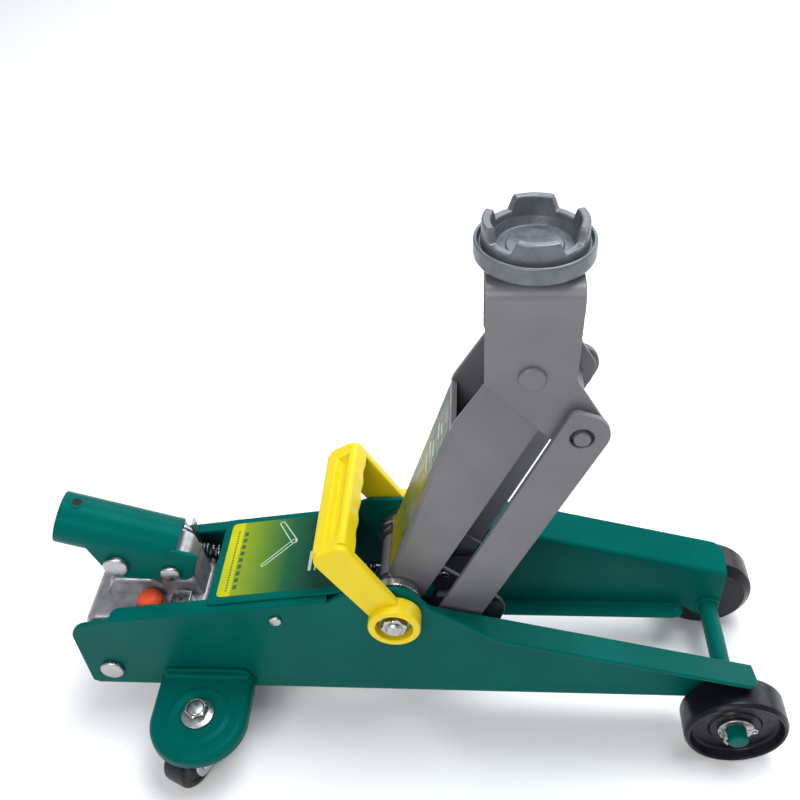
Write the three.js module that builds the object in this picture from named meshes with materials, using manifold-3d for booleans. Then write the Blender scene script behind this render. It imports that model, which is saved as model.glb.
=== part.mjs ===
// Hydraulic floor jack (trolley jack) with its arm raised.
// Millimetres, +Z up, +X towards the front wheels, +Y to the jack's left side.
// The pieces are drawn from the main pivot of the lift arm (x = 0) and the whole group is then
// moved so that the origin lies on the ground under the middle of the jack.
import * as THREE from 'three';
import * as BufferGeometryUtils from 'three/addons/utils/BufferGeometryUtils.js';
import Module from 'manifold-3d';

const wasm = await Module();
wasm.setup();

// ---- driving dimensions -------------------------------------------------------------------
const gap = 0.3;                    // between pieces that touch
const originX = 13.4;                // middle of the jack's length, measured from the main pivot

const sheet = 3;                    // pressed steel of the side plates
const plateOuter = 38;              // outer face of a side plate, from the middle
const plateInner = plateOuter - sheet;
const plateBottom = 29;
const plateRear = -208;
const plateFront = 217;
const rearTop = (x) => 129.3 + 0.17 * x;      // top edge of a side plate behind the pivot
const frontTop = (x) => 123 - 0.27 * x;       // fold line of its front flange

const pivot = { x: 0, z: 112 };     // main pivot of the lift arm
const armLength = 186;
const armAngle = 66.3 * Math.PI / 180;
const pinOffset = { x: 26.3, z: -35.2 };      // from an arm pin to the link pin beside it
const armPin = {
  x: pivot.x + armLength * Math.cos(armAngle),
  z: pivot.z + armLength * Math.sin(armAngle),
};
const linkFoot = { x: pivot.x + pinOffset.x, z: pivot.z + pinOffset.z };
const linkHead = { x: armPin.x + pinOffset.x, z: armPin.z + pinOffset.z };
const shaftRadius = 8;
const ramRadius = 10;               // the ram, and half the width of its yoke

const armOuter = 22.5;              // outer face of the arm's side walls
const cheekOuter = 26;              // outer face of the saddle bracket
const linkInner = 27.5;
const linkOuter = 31.5;

const crankRadius = 60;             // from the main pivot to the crank pin
const crankAngle = -53.5 * Math.PI / 180;
const crank = {
  x: pivot.x + crankRadius * Math.cos(crankAngle),
  z: pivot.z + crankRadius * Math.sin(crankAngle),
};
const ramHeight = 58;               // height of the ram's axis
const springPin = { x: 28, z: 84 }; // where the return spring pulls on the arm

const frontAxle = { x: 208.5, z: 31.5 };
const wheelRadius = 31.5;
const wheelInner = 40.3;
const wheelOuter = 65;
const rearPin = { x: -189, z: 48 };

const socketAngle = 19.2 * Math.PI / 180;     // the handle socket rises towards the rear
const socketEnd = { x: -208, z: 152 };        // middle of its open end
const socketLength = 74;
const socketRadius = 16;
const socketBore = 13;
const socketPivot = { x: -141, z: 119 };
const pumpPin = { x: -174, z: 126 };
const lugHalf = 11.6;               // half width of the castings between the socket's cheeks

const saddleTop = 356;
const saddleRadius = 29;
const bracketTop = 334;

const caster = { x: -126, y: 69, trail: 14, wheel: 18.5, swivel: 25 * Math.PI / 180 };
const casterShelf = 45;             // top face of the caster bracket

// ---- shapes -------------------------------------------------------------------------------
// A closed outline through corners [x, y] or [x, y, radius]; a radius rounds that corner.
function outline(corners) {
  const shape = new THREE.Shape();
  const count = corners.length;
  for (let i = 0; i < count; i += 1) {
    const here = new THREE.Vector2(corners[i][0], corners[i][1]);
    const before = new THREE.Vector2(...corners[(i + count - 1) % count].slice(0, 2)).sub(here);
    const after = new THREE.Vector2(...corners[(i + 1) % count].slice(0, 2)).sub(here);
    const radius = corners[i][2] ?? 0;
    if (radius === 0) {
      if (i === 0) shape.moveTo(here.x, here.y);
      else shape.lineTo(here.x, here.y);
      continue;
    }
    before.normalize();
    after.normalize();
    const half = Math.acos(before.dot(after)) / 2;
    const start = here.clone().addScaledVector(before, radius / Math.tan(half));
    const end = here.clone().addScaledVector(after, radius / Math.tan(half));
    const middle = before.clone().add(after).normalize();
    const centre = here.clone().addScaledVector(middle, radius / Math.sin(half));
    const clockwise = before.cross(after) > 0;
    if (i === 0) shape.moveTo(start.x, start.y);
    else shape.lineTo(start.x, start.y);
    const from = Math.atan2(start.y - centre.y, start.x - centre.x);
    const to = Math.atan2(end.y - centre.y, end.x - centre.x);
    shape.absarc(centre.x, centre.y, radius, from, to, clockwise);
  }
  shape.closePath();
  return shape;
}

// A bar with round ends around two points.
function barOutline(a, b, radiusA, radiusB) {
  const angle = Math.atan2(b.z - a.z, b.x - a.x);
  const lean = Math.asin((radiusA - radiusB) / Math.hypot(b.x - a.x, b.z - a.z));
  const shape = new THREE.Shape();
  const quarter = Math.PI / 2;
  shape.absarc(a.x, a.z, radiusA, angle + quarter - lean, angle - quarter + lean, false);
  shape.absarc(b.x, b.z, radiusB, angle - quarter + lean, angle + quarter - lean, false);
  shape.closePath();
  return shape;
}

// Side-view outline (x, z) made solid between two y values.
function slabY(shape, y0, y1, curveSegments = 2) {
  const depth = Math.abs(y1 - y0);
  const geometry = new THREE.ExtrudeGeometry(shape, { depth, bevelEnabled: false, curveSegments });
  return geometry.rotateX(Math.PI / 2).translate(0, Math.max(y0, y1), 0);
}

// Plan-view outline (x, y) made solid between two heights.
function slabZ(shape, z0, z1, curveSegments = 2) {
  const depth = z1 - z0;
  const geometry = new THREE.ExtrudeGeometry(shape, { depth, bevelEnabled: false, curveSegments });
  return geometry.translate(0, 0, z0);
}

function box(x0, x1, y0, y1, z0, z1) {
  const geometry = new THREE.BoxGeometry(Math.abs(x1 - x0), Math.abs(y1 - y0), Math.abs(z1 - z0));
  return geometry.translate((x0 + x1) / 2, (y0 + y1) / 2, (z0 + z1) / 2);
}

// A round bar along Y.
function rodY(centre, radius, y0, y1, sides = 16) {
  const geometry = new THREE.CylinderGeometry(radius, radius, Math.abs(y1 - y0), sides);
  return geometry.translate(centre.x, (y0 + y1) / 2, centre.z);
}

// A round bar along Z.
function rodZ(x, y, radius, z0, z1, sides = 16) {
  const geometry = new THREE.CylinderGeometry(radius, radius, z1 - z0, sides);
  return geometry.rotateX(Math.PI / 2).translate(x, y, (z0 + z1) / 2);
}

// A round bar along X.
function rodX(y, z, radius, x0, x1, sides = 16) {
  const geometry = new THREE.CylinderGeometry(radius, radius, x1 - x0, sides);
  return geometry.rotateZ(Math.PI / 2).translate((x0 + x1) / 2, y, z);
}

// Profiles of [radius, height] turned about a Y, Z or X axis.
function turn(profile, sides) {
  const points = profile.map(([radius, height]) => new THREE.Vector2(radius, height));
  return new THREE.LatheGeometry(points, sides);
}
const turnY = (profile, centre, sides = 16) => turn(profile, sides).translate(centre.x, 0, centre.z);
const turnZ = (profile, x, y, sides = 16) => turn(profile, sides).rotateX(Math.PI / 2).translate(x, y, 0);
const turnX = (profile, y, z, sides = 16) => turn(profile, sides).rotateZ(-Math.PI / 2).translate(0, y, z);

// ---- joining and cutting ------------------------------------------------------------------
function weld(geometry) {
  const bare = geometry.clone();
  bare.deleteAttribute('normal');
  bare.deleteAttribute('uv');
  return BufferGeometryUtils.mergeVertices(bare, 1e-4);
}

function solid(geometry) {
  const merged = weld(geometry);
  const vertProperties = new Float32Array(merged.attributes.position.array);
  const triVerts = new Uint32Array(merged.index.array);
  return new wasm.Manifold(new wasm.Mesh({ numProp: 3, vertProperties, triVerts }));
}

function geometryOf(manifold) {
  const mesh = manifold.getMesh();
  const geometry = new THREE.BufferGeometry();
  geometry.setAttribute('position', new THREE.BufferAttribute(mesh.vertProperties, 3));
  geometry.setIndex(new THREE.BufferAttribute(mesh.triVerts, 1));
  return geometry;
}

function join(...geometries) {
  return geometryOf(geometries.map(solid).reduce((whole, next) => whole.add(next)));
}

function cut(geometry, ...tools) {
  return geometryOf(tools.map(solid).reduce((rest, tool) => rest.subtract(tool), solid(geometry)));
}

// ---- finishes -----------------------------------------------------------------------------
const finishes = {
  greenPaint: { color: 0x0a5c50, roughness: 0.35, metalness: 0.1 },
  greyPaint: { color: 0x77787c, roughness: 0.42, metalness: 0.4 },
  castAlloy: { color: 0xa6a7aa, roughness: 0.55, metalness: 0.8 },
  brightSteel: { color: 0xc4c6c9, roughness: 0.28, metalness: 1 },
  darkSteel: { color: 0x4a4c50, roughness: 0.45, metalness: 0.9 },
  yellowPlastic: { color: 0xe6d21e, roughness: 0.45, metalness: 0 },
  orangeRubber: { color: 0xc8401e, roughness: 0.6, metalness: 0 },
  blackPlastic: { color: 0x17181a, roughness: 0.6, metalness: 0 },
};

const jack = new THREE.Group();

function place(name, finish, geometry) {
  const mesh = new THREE.Mesh(geometry, new THREE.MeshStandardMaterial(finishes[finish]));
  mesh.name = name;
  jack.add(mesh);
}

// Pieces of the left side, and their mirror images on the right.
function mirrorY(geometry) {
  const mirrored = weld(geometry).scale(1, -1, 1);
  const index = mirrored.index;
  for (let i = 0; i < index.count; i += 3) {
    const second = index.getX(i + 1);
    index.setX(i + 1, index.getX(i + 2));
    index.setX(i + 2, second);
  }
  return mirrored;
}

function placePair(name, finish, geometry) {
  place(`${name}_left`, finish, geometry);
  place(`${name}_right`, finish, mirrorY(geometry));
}

// ---- chassis ------------------------------------------------------------------------------
// A flat strip bent off a side plate: its plan outline, sloped along x and risen outwards.
function slopedStrip(corners, thickness, topAtPivot, slope, rise) {
  const shear = new THREE.Matrix4().set(
    1, 0, 0, 0,
    0, 1, 0, 0,
    slope, rise, 1, topAtPivot - rise * plateOuter,
    0, 0, 0, 1,
  );
  return slabZ(outline(corners), -thickness, 0).applyMatrix4(shear);
}

const rearSlope = rearTop(1) - rearTop(0);
const frontSlope = frontTop(1) - frontTop(0);
const coverScrew = { x: -74, z: 102 };
const coverRear = -116;
const coverFront = -31;

function sidePlate() {
  const lap = 0.5;                  // the strips start this far inside the web
  const strip = plateInner + lap;
  const flangeStart = 22;
  const flangeOuter = 57;
  const flangeRise = 6 / 19;
  const earBottom = frontAxle.z - 11;
  const web = slabY(outline([
    [plateRear + 3, plateBottom, 3],
    [frontAxle.x - 16, plateBottom, 6],
    [frontAxle.x - 6, earBottom, 8],
    [plateFront, earBottom, 8],
    [plateFront, frontTop(plateFront)],
    [flangeStart, frontTop(flangeStart), 12],
    [8, 133, 12],
    [-22, 132, 18],
    [-34, rearTop(-34) + 1],
    [-182, rearTop(-182), 12],
    [plateRear, 92, 12],
  ]), plateInner, plateOuter);
  const bottomFlange = box(plateRear + 6, frontAxle.x - 18, 24, strip, plateBottom, plateBottom + sheet);
  const rearFlange = slopedStrip([
    [-182, 28.5, 3], [-41, 28.5, 3], [-41, strip], [-182, strip],
  ], sheet, rearTop(0), rearSlope, 0);
  const frontFlange = slopedStrip([
    [flangeStart, strip], [plateFront, strip], [plateFront, flangeOuter, 8],
    [58, flangeOuter, 14], [flangeStart, plateOuter + 1],
  ], sheet, frontTop(0), frontSlope, flangeRise);
  const slit = slabY(outline([[-38.4, 140], [-40.4, 140], [-38.2, 112], [-35.8, 112]]), 20, 60);
  return cut(join(web, bottomFlange, rearFlange, frontFlange),
    slit,
    rodY(pivot, shaftRadius + gap, 30, 60),
    rodY(frontAxle, 6 + gap, 30, 60),
    rodY(rearPin, 6 + gap, 30, 60),
    rodY(coverScrew, 2.5 + gap, 30, 60, 12));
}

function coverPlate() {
  const half = 34.5;
  const thickness = 2;
  const roof = slopedStrip([
    [coverRear, -half, 2], [coverFront, -half, 2], [coverFront, half, 2], [coverRear, half, 2],
  ], thickness, rearTop(0) + gap + thickness, rearSlope, 0);
  const tab = box(coverScrew.x - 8, coverScrew.x + 8, 26, 28, 94, rearTop(coverScrew.x) + 1);
  const rearLip = box(coverRear, coverRear + 2, -26, 26, rearTop(coverRear) - 6, rearTop(coverRear) + 1);
  return cut(join(roof, tab, mirrorY(tab), rearLip), rodY(coverScrew, 2.5 + gap, -60, 60, 12));
}

placePair('side_plate', 'greenPaint', sidePlate());
place('cover_plate', 'greenPaint', coverPlate());
placePair('cover_screw', 'brightSteel', turnY([
  [0, 24.5], [2.5, 24.5], [2.5, plateOuter + gap], [4, plateOuter + gap], [3.4, plateOuter + 1.8],
  [0, plateOuter + 2.2],
], coverScrew, 12));

place('rear_pin', 'brightSteel', turnY([
  [0, -41.5], [6.6, -41.5], [7.8, -40.4], [7.8, -38.3], [6, -38.3],
  [6, 38.3], [7.8, 38.3], [7.8, 40.4], [6.6, 41.5], [0, 41.5],
], rearPin));

// ---- main shaft ---------------------------------------------------------------------------
const threadRadius = 6;
place('main_shaft', 'darkSteel', turnY([
  [0, -52], [threadRadius - 1, -52], [threadRadius, -51], [threadRadius, -42.6], [shaftRadius, -42.6],
  [shaftRadius, 42.6], [threadRadius, 42.6], [threadRadius, 51], [threadRadius - 1, 52], [0, 52],
], pivot));
placePair('shaft_washer', 'brightSteel', turnY([
  [threadRadius + gap, 42.9], [10.4, 42.9], [10.4, 44.4], [threadRadius + gap, 44.4], [threadRadius + gap, 42.9],
], pivot));
function hexNutY(centre, acrossFlats, bore, y0, y1) {
  const corner = acrossFlats / Math.sqrt(3);
  const hex = rodY(centre, corner, y0, y1, 6);
  const middle = (y0 + y1) / 2;
  const rounded = turnY([[0, y0], [corner - 1, y0], [corner + 0.6, middle - 1], [corner + 0.6, middle + 1],
    [corner - 1, y1], [0, y1]], centre, 24);
  return cut(geometryOf(solid(hex).intersect(solid(rounded))), rodY(centre, bore, y0 - 1, y1 + 1));
}
placePair('shaft_nut', 'brightSteel', hexNutY(pivot, 17, threadRadius + gap, 44.7, 50.4));
placePair('shaft_spacer', 'brightSteel', turnY([
  [shaftRadius + gap, armOuter + 0.5], [13, armOuter + 0.5], [13, plateInner - gap],
  [shaftRadius + gap, plateInner - gap], [shaftRadius + gap, armOuter + 0.5],
], pivot));

// ---- front axle and wheels ----------------------------------------------------------------
place('front_axle', 'greenPaint', turnY([
  [0, -70], [4.8, -70], [6, -68.8], [6, 68.8], [4.8, 70], [0, 70],
], frontAxle));
placePair('axle_washer', 'brightSteel', turnY([
  [6.4, 60.3], [11, 60.3], [11, 61.9], [6.4, 61.9], [6.4, 60.3],
], frontAxle));
placePair('axle_cotter', 'brightSteel', join(
  rodZ(frontAxle.x, 64.6, 1.1, frontAxle.z + 6.4, frontAxle.z + 12, 8),
  box(frontAxle.x - 1.1, frontAxle.x + 8, 63.5, 65.7, frontAxle.z + 10.5, frontAxle.z + 12.4),
  box(frontAxle.x + 6.2, frontAxle.x + 8.4, 63.5, 65.7, frontAxle.z - 7, frontAxle.z + 12.4)));
placePair('front_wheel', 'blackPlastic', turnY([
  [6.5, wheelInner], [26, wheelInner], [30, wheelInner + 1.4], [wheelRadius, wheelInner + 5],
  [wheelRadius, wheelOuter - 6], [30, wheelOuter - 2], [26.6, wheelOuter], [24.2, 64.4], [22, 61.2],
  [15.5, 61.2], [13, 59.9], [6.5, 59.9], [6.5, wheelInner],
], frontAxle, 28));

// ---- rear casters -------------------------------------------------------------------------
const casterRim = 31;
const forkTop = casterShelf - sheet - 0.6;
const wheelHalf = 8.5;
const legInner = 10;
const legOuter = 12.3;

function casterBracket() {
  const edge = plateOuter + 0.3;
  const flare = 3;
  const plan = (grow) => outline([
    [caster.x - casterRim - grow, edge], [caster.x + casterRim + grow, edge],
    [caster.x + casterRim + grow, caster.y + casterRim + grow, casterRim + grow - 0.5],
    [caster.x - casterRim - grow, caster.y + casterRim + grow, casterRim + grow - 0.5],
  ]);
  const shelf = slabZ(plan(-flare), casterShelf - sheet, casterShelf, 4);
  const skirt = cut(slabZ(plan(0), casterShelf - 9, casterShelf - 2, 4),
    slabZ(plan(-2.4), casterShelf - 10, casterShelf - sheet, 4).translate(0, -2.5, 0),
    box(caster.x - 60, caster.x + 60, 0, edge, 0, 90));
  const wall = box(caster.x - casterRim + flare, caster.x + casterRim - flare, edge, edge + sheet,
    casterShelf - 5, casterShelf + 6);
  const dish = turnZ([[14, casterShelf - 1], [19, casterShelf - 1], [17, casterShelf + 1.6], [14, casterShelf + 1.6],
    [14, casterShelf - 1]], caster.x, caster.y, 20);
  return cut(join(shelf, skirt, wall, dish), rodZ(caster.x, caster.y, 5.4, 0, 90));
}

const swivel = new THREE.Matrix4().makeTranslation(caster.x, caster.y, 0)
  .multiply(new THREE.Matrix4().makeRotationZ(caster.swivel));
// In the caster's own frame the wheel trails along +Y and turns about X.
const swivelled = (geometry) => geometry.applyMatrix4(swivel);

function casterFork() {
  const top = cut(box(-legOuter, legOuter, -13, 13, forkTop - 2.3, forkTop), rodZ(0, 0, 5.4, 0, 90));
  const leg = (x0, x1) => {
    const side = outline([
      [-13, forkTop - 1], [13, forkTop - 1], [caster.trail + 9.5, caster.wheel + 4, 9],
      [caster.trail + 6, caster.wheel - 9.5, 8], [caster.trail - 8, caster.wheel - 8, 8],
    ]);
    const depth = x1 - x0;
    const geometry = new THREE.ExtrudeGeometry(side, { depth, bevelEnabled: false, curveSegments: 2 });
    return geometry.rotateX(Math.PI / 2).rotateZ(Math.PI / 2).translate(x0, 0, 0);
  };
  const bore = rodX(caster.trail, caster.wheel, 3.4, -20, 20, 16);
  return cut(join(top, leg(-legOuter, -legInner), leg(legInner, legOuter)), bore);
}

placePair('caster_bracket', 'greenPaint', casterBracket());
placePair('caster_stem', 'darkSteel', turnZ([
  [0, forkTop - 5], [6.5, forkTop - 5], [6.5, forkTop - 2.7], [5, forkTop - 2.7], [5, casterShelf + 9],
  [0, casterShelf + 9],
], caster.x, caster.y, 12));
function casterNut() {
  const seat = casterShelf + gap;
  const flange = turnZ([
    [0, seat], [10.4, seat], [10.2, seat + 1.2], [7, seat + 2.6], [0, seat + 2.6],
  ], caster.x, caster.y, 16);
  const hex = rodZ(caster.x, caster.y, 7.5, seat + 1, seat + 8, 6);
  return cut(join(flange, hex), rodZ(caster.x, caster.y, 5 + gap, 0, 90));
}
placePair('caster_nut', 'brightSteel', casterNut());
placePair('caster_fork', 'brightSteel', swivelled(casterFork()));
placePair('caster_axle', 'brightSteel', swivelled(turnX([
  [0, -legOuter - 1.8], [3.4, -legOuter - 1.4], [4.6, -legOuter - 0.3], [3, -legOuter - 0.3],
  [3, legOuter + 0.3], [4.6, legOuter + 0.3], [3.4, legOuter + 1.4], [0, legOuter + 1.8],
], caster.trail, caster.wheel, 16)));
placePair('caster_wheel', 'blackPlastic', swivelled(turnX([
  [3.5, -wheelHalf - 0.8], [7, -wheelHalf - 0.8], [8, -wheelHalf + 1], [13, -wheelHalf + 1], [14, -wheelHalf],
  [caster.wheel - 2, -wheelHalf], [caster.wheel, -wheelHalf + 2.5], [caster.wheel, wheelHalf - 2.5],
  [caster.wheel - 2, wheelHalf], [14, wheelHalf], [13, wheelHalf - 1], [8, wheelHalf - 1],
  [7, wheelHalf + 0.8], [3.5, wheelHalf + 0.8], [3.5, -wheelHalf - 0.8],
], caster.trail, caster.wheel, 20)));

// ---- lift arm -----------------------------------------------------------------------------
const along = { x: Math.cos(armAngle), z: Math.sin(armAngle) };
// A point beside the arm's centre line: distance up the arm, and distance towards its front edge.
const beside = (up, front) => [
  pivot.x + along.x * up + along.z * front,
  pivot.z + along.z * up - along.x * front,
];

function liftArm() {
  const wall = 3;
  const taper = 16 / (armLength - 20);          // the back edge leaves the centre line
  const backEdge = (up, depth = 0) => beside(up, -9 - (up - 2) * taper + depth);
  const roofEnds = [12, armLength - 50];
  const back = [backEdge(2), backEdge(roofEnds[1] + 2)];
  const front = [beside(armLength - 18, 20), beside(14, 16.5)];
  const side = (y0, y1) => slabY(outline([
    [...back[0], 6], [...back[1], 20], [...beside(armLength + 14, -14), 10],
    [...beside(armLength + 15, 10), 10], [...front[0], 14], [...front[1], 14],
    [66, 100, 12], [60, 74, 12], [crank.x - 6, crank.z - 14, 12], [crank.x - 16, crank.z + 4, 8],
    [-4, 98, 10], [-13, 106, 8],
  ]), y0, y1);
  const roof = slabY(outline([
    backEdge(roofEnds[0], -0.2), backEdge(roofEnds[0], wall),
    backEdge(roofEnds[1], wall), backEdge(roofEnds[1], -0.2),
  ]), -armOuter + 1, armOuter - 1);
  return cut(join(side(-armOuter, -armOuter + wall), side(armOuter - wall, armOuter), roof),
    rodY(pivot, 11.5, -60, 60), rodY(armPin, 7 + gap, -60, 60), rodY(crank, 6 + gap, -60, 60),
    rodY(springPin, 2.5 + gap, 0, 60, 12));
}

place('lift_arm', 'greyPaint', liftArm());
place('arm_pivot_tube', 'greyPaint', turnY([
  [shaftRadius + gap, -armOuter - 0.2], [11.2, -armOuter - 0.2], [11.2, armOuter + 0.2],
  [shaftRadius + gap, armOuter + 0.2], [shaftRadius + gap, -armOuter - 0.2],
], pivot));
place('crank_pin', 'darkSteel', turnY([
  [0, -armOuter - 2], [4.5, -armOuter - 2], [6, -armOuter - 0.6],
  [6, armOuter + 0.6], [4.5, armOuter + 2], [0, armOuter + 2],
], crank));
place('spring_pin', 'darkSteel', turnY([
  [0, ramRadius + 0.5], [2.5, ramRadius + 0.5], [2.5, armOuter + 0.4], [0, armOuter + 1],
], springPin, 12));

// ---- saddle bracket and saddle ------------------------------------------------------------
function saddleBracket() {
  const cheekInner = cheekOuter - 3;
  const left = armPin.x - 23.3;
  const right = armPin.x + 23;
  const cheek = (y0, y1) => slabY(outline([
    [left, bracketTop - 1], [left, armPin.z - 5, 4], [linkHead.x - 16, linkHead.z - 5, 3],
    [linkHead.x - 7, linkHead.z - 12, 8], [linkHead.x + 8, linkHead.z - 12, 9], [linkHead.x + 13, linkHead.z + 4, 10],
    [right - 1, armPin.z - 2, 14], [right, bracketTop - 1],
  ]), y0, y1);
  const roof = slabZ(outline([
    [left, -cheekOuter], [right, -cheekOuter], [right, cheekOuter], [left, cheekOuter],
  ]), bracketTop - 3, bracketTop);
  const whole = join(cheek(-cheekOuter, -cheekInner), cheek(cheekInner, cheekOuter), roof);
  return cut(whole,
    rodY(armPin, 7 + gap, -60, 60), rodY(linkHead, 4.5 + gap, -60, 60), rodZ(armPin.x, 0, 8 + gap, 300, 360));
}

place('saddle_bracket', 'greyPaint', saddleBracket());
place('arm_pin', 'greyPaint', turnY([
  [0, -cheekOuter - 2.6], [5.8, -cheekOuter - 2.6], [7, -cheekOuter - 1.2], [7, cheekOuter + 1.2],
  [5.8, cheekOuter + 2.6], [0, cheekOuter + 2.6],
], armPin));
place('link_pin', 'greyPaint', turnY([
  [0, -32.8], [3.5, -32.8], [4.5, -31.8], [4.5, 31.8], [3.5, 32.8], [0, 32.8],
], linkHead));

function saddle() {
  const base = turnZ([
    [0, 312], [7, 312], [8, 313], [8, bracketTop + gap], [21, bracketTop + gap], [22.5, bracketTop + 2],
    [27, bracketTop + 5], [saddleRadius, bracketTop + 8], [saddleRadius, bracketTop + 11.4],
    [saddleRadius - 1.6, bracketTop + 12.4], [saddleRadius - 2.6, bracketTop + 10], [25.5, bracketTop + 9.5],
    [25.5, bracketTop + 15.2], [20.5, bracketTop + 15.2], [19, bracketTop + 7.5], [0, bracketTop + 7.5],
  ], armPin.x, 0, 28);
  const lugRing = turnZ([
    [20, bracketTop + 14], [25.5, bracketTop + 14], [25.2, saddleTop - 0.8], [24, saddleTop],
    [21.4, saddleTop], [20.4, saddleTop - 1], [20, bracketTop + 14],
  ], armPin.x, 0, 28);
  const halfLug = 25 * Math.PI / 180;
  const reach = 2 * saddleRadius;
  const corner = [reach * Math.cos(halfLug), reach * Math.sin(halfLug)];
  const wedge = slabZ(outline([[0, 0], [corner[0], -corner[1]], corner]), bracketTop, saddleTop + 1);
  const lugs = [0, 1, 2, 3].map((quarter) => {
    const sector = wedge.clone().rotateZ(quarter * Math.PI / 2).translate(armPin.x, 0, 0);
    return geometryOf(solid(lugRing).intersect(solid(sector)));
  });
  return join(base, ...lugs);
}

place('saddle', 'greyPaint', saddle());
place('saddle_retainer', 'brightSteel', turnZ([
  [8 + gap, 320], [13, 320], [13, bracketTop - 3 - gap], [8 + gap, bracketTop - 3 - gap], [8 + gap, 320],
], armPin.x, 0, 20));

// ---- links --------------------------------------------------------------------------------
placePair('link', 'greyPaint', cut(
  slabY(barOutline(linkFoot, linkHead, 12.5, 13), linkInner, linkOuter, 5),
  rodY(linkFoot, 7 + gap, 0, 60), rodY(linkHead, 6.2, 0, 60)));
placePair('link_stud', 'darkSteel', turnY([
  [0, armOuter + 1.6], [9.4, armOuter + 1.6], [10, armOuter + 2.2], [10, linkInner - gap], [7, linkInner - gap],
  [7, plateInner - gap], [0, plateInner - gap],
], linkFoot));

// ---- power unit ---------------------------------------------------------------------------
const blockFront = -122;
const blockTop = 92;
const ramRear = -106;
const ramTravel = 72;
const cylinderFront = -60;
const plungerRadius = 4.3;
const plungerBottom = 82.5;
const filler = { x: -158, y: -20.4 };
const valve = { x: -137, y: -21, top: blockTop + 3, bottom: 74 };
const pumpSeat = 88;                // floor of the well that the pump spring stands in

function pumpBlock() {
  const base = slabY(outline([
    [-203, 36, 4], [blockFront, 36, 4], [blockFront, blockTop, 3], [-200, blockTop, 8],
  ]), -31, 31);
  const pumpBoss = slabY(outline([
    [-190, blockTop - 2], [-150, blockTop - 2], [-152, 99, 4], [-158, 106, 4], [-184, 106, 4],
  ]), -lugHalf, lugHalf);
  const pivotLug = slabY(outline([
    [-153, blockTop - 2], [-125, blockTop - 2], [-129, 116, 6], [-132, 128, 7], [-148, 128, 7], [-150, 116, 6],
  ]), -lugHalf, lugHalf);
  const stopLug = slabY(outline([
    [-134, blockTop - 2], [-122, blockTop - 2], [-123, 118, 3], [-128, 124, 3], [-134, 124, 2],
  ]), 17, 27);
  const valveBoss = turnZ([
    [0, blockTop - 2], [9, blockTop - 2], [8.4, valve.top], [0, valve.top],
  ], valve.x, valve.y);
  const fillerBoss = turnZ([
    [0, blockTop - 2], [9.4, blockTop - 2], [9, blockTop + 2], [0, blockTop + 2],
  ], filler.x, filler.y);
  return cut(join(base, pumpBoss, pivotLug, stopLug, valveBoss, fillerBoss),
    rodY(rearPin, 6 + gap, -60, 60),
    rodY(socketPivot, 5 + gap, -60, 60),
    rodZ(pumpPin.x, 0, 8.5, pumpSeat, blockTop + 30),
    rodZ(pumpPin.x, 0, plungerRadius + gap, plungerBottom - 12, pumpSeat + 1),
    rodZ(filler.x, filler.y, 5 + gap, blockTop - 8, blockTop + 9),
    rodX(0, ramHeight, ramRadius + 1, ramRear - ramTravel - 4, blockFront + 1),
    rodZ(valve.x, valve.y, 4 + gap, valve.bottom - 1, valve.top + 9));
}

place('pump_block', 'castAlloy', pumpBlock());
place('filler_plug', 'orangeRubber', turnZ([
  [0, 86], [5, 86], [5, blockTop + 2 + gap], [8.2, blockTop + 2 + gap], [8.4, blockTop + 4], [7.7, blockTop + 6.2],
  [5.4, blockTop + 9.6], [0, blockTop + 11],
], filler.x, filler.y, 20));
place('release_valve', 'brightSteel', cut(
  turnZ([
    [0, valve.bottom], [3.2, valve.bottom], [4, valve.bottom + 1], [4, valve.top + gap],
    [6, valve.top + gap], [6.4, valve.top + 1], [6.4, valve.top + 5], [5.6, valve.top + 6],
    [0, valve.top + 6],
  ], valve.x, valve.y),
  box(valve.x - 10, valve.x + 10, valve.y - 1, valve.y + 1, valve.top + 3.6, valve.top + 8)));
place('ram_cylinder', 'darkSteel', turnX([
  [ramRadius + 1, blockFront + gap], [20, blockFront + gap], [20, cylinderFront - 8.3],
  [ramRadius + 1, cylinderFront - 8.3], [ramRadius + 1, blockFront + gap],
], 0, ramHeight, 20));
place('cylinder_gland', 'brightSteel', turnX([
  [ramRadius + gap, cylinderFront - 8], [18.4, cylinderFront - 8], [18.4, cylinderFront - 1], [17.4, cylinderFront],
  [ramRadius + gap, cylinderFront], [ramRadius + gap, cylinderFront - 8],
], 0, ramHeight, 20));
const yokeRear = crank.x - 16;
place('ram', 'brightSteel', turnX([
  [0, ramRear], [ramRadius, ramRear], [ramRadius, yokeRear - gap], [0, yokeRear - gap],
], 0, ramHeight, 20));
place('ram_yoke', 'darkSteel', cut(
  slabY(outline([
    [yokeRear, ramHeight - 17, 4], [crank.x + 13, ramHeight - 17, 5], [crank.x + 13, ramHeight + 17, 5],
    [yokeRear, ramHeight + 17, 4],
  ]), -ramRadius, ramRadius),
  slabY(outline([
    [crank.x - 7.6, ramHeight - 13, 5], [crank.x + 7.6, ramHeight - 13, 5], [crank.x + 7.6, ramHeight + 13, 5],
    [crank.x - 7.6, ramHeight + 13, 5],
  ]), -20, 20)));
const springRear = { x: -121.4, y: 13.5, z: 99 };
const springRadius = 5;
function returnSpring() {
  const length = Math.hypot(springPin.x - springRear.x, springPin.z - springRear.z) - 3.2;
  const drop = Math.atan2(springRear.z - springPin.z, springPin.x - springRear.x);
  return turnX([
    [springRadius - 1.4, 0], [springRadius, 0], [springRadius, length], [springRadius - 1.4, length],
    [springRadius - 1.4, 0],
  ], 0, 0, 16).rotateY(drop).translate(springRear.x, springRear.y, springRear.z);
}
place('return_spring', 'darkSteel', returnSpring());

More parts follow.
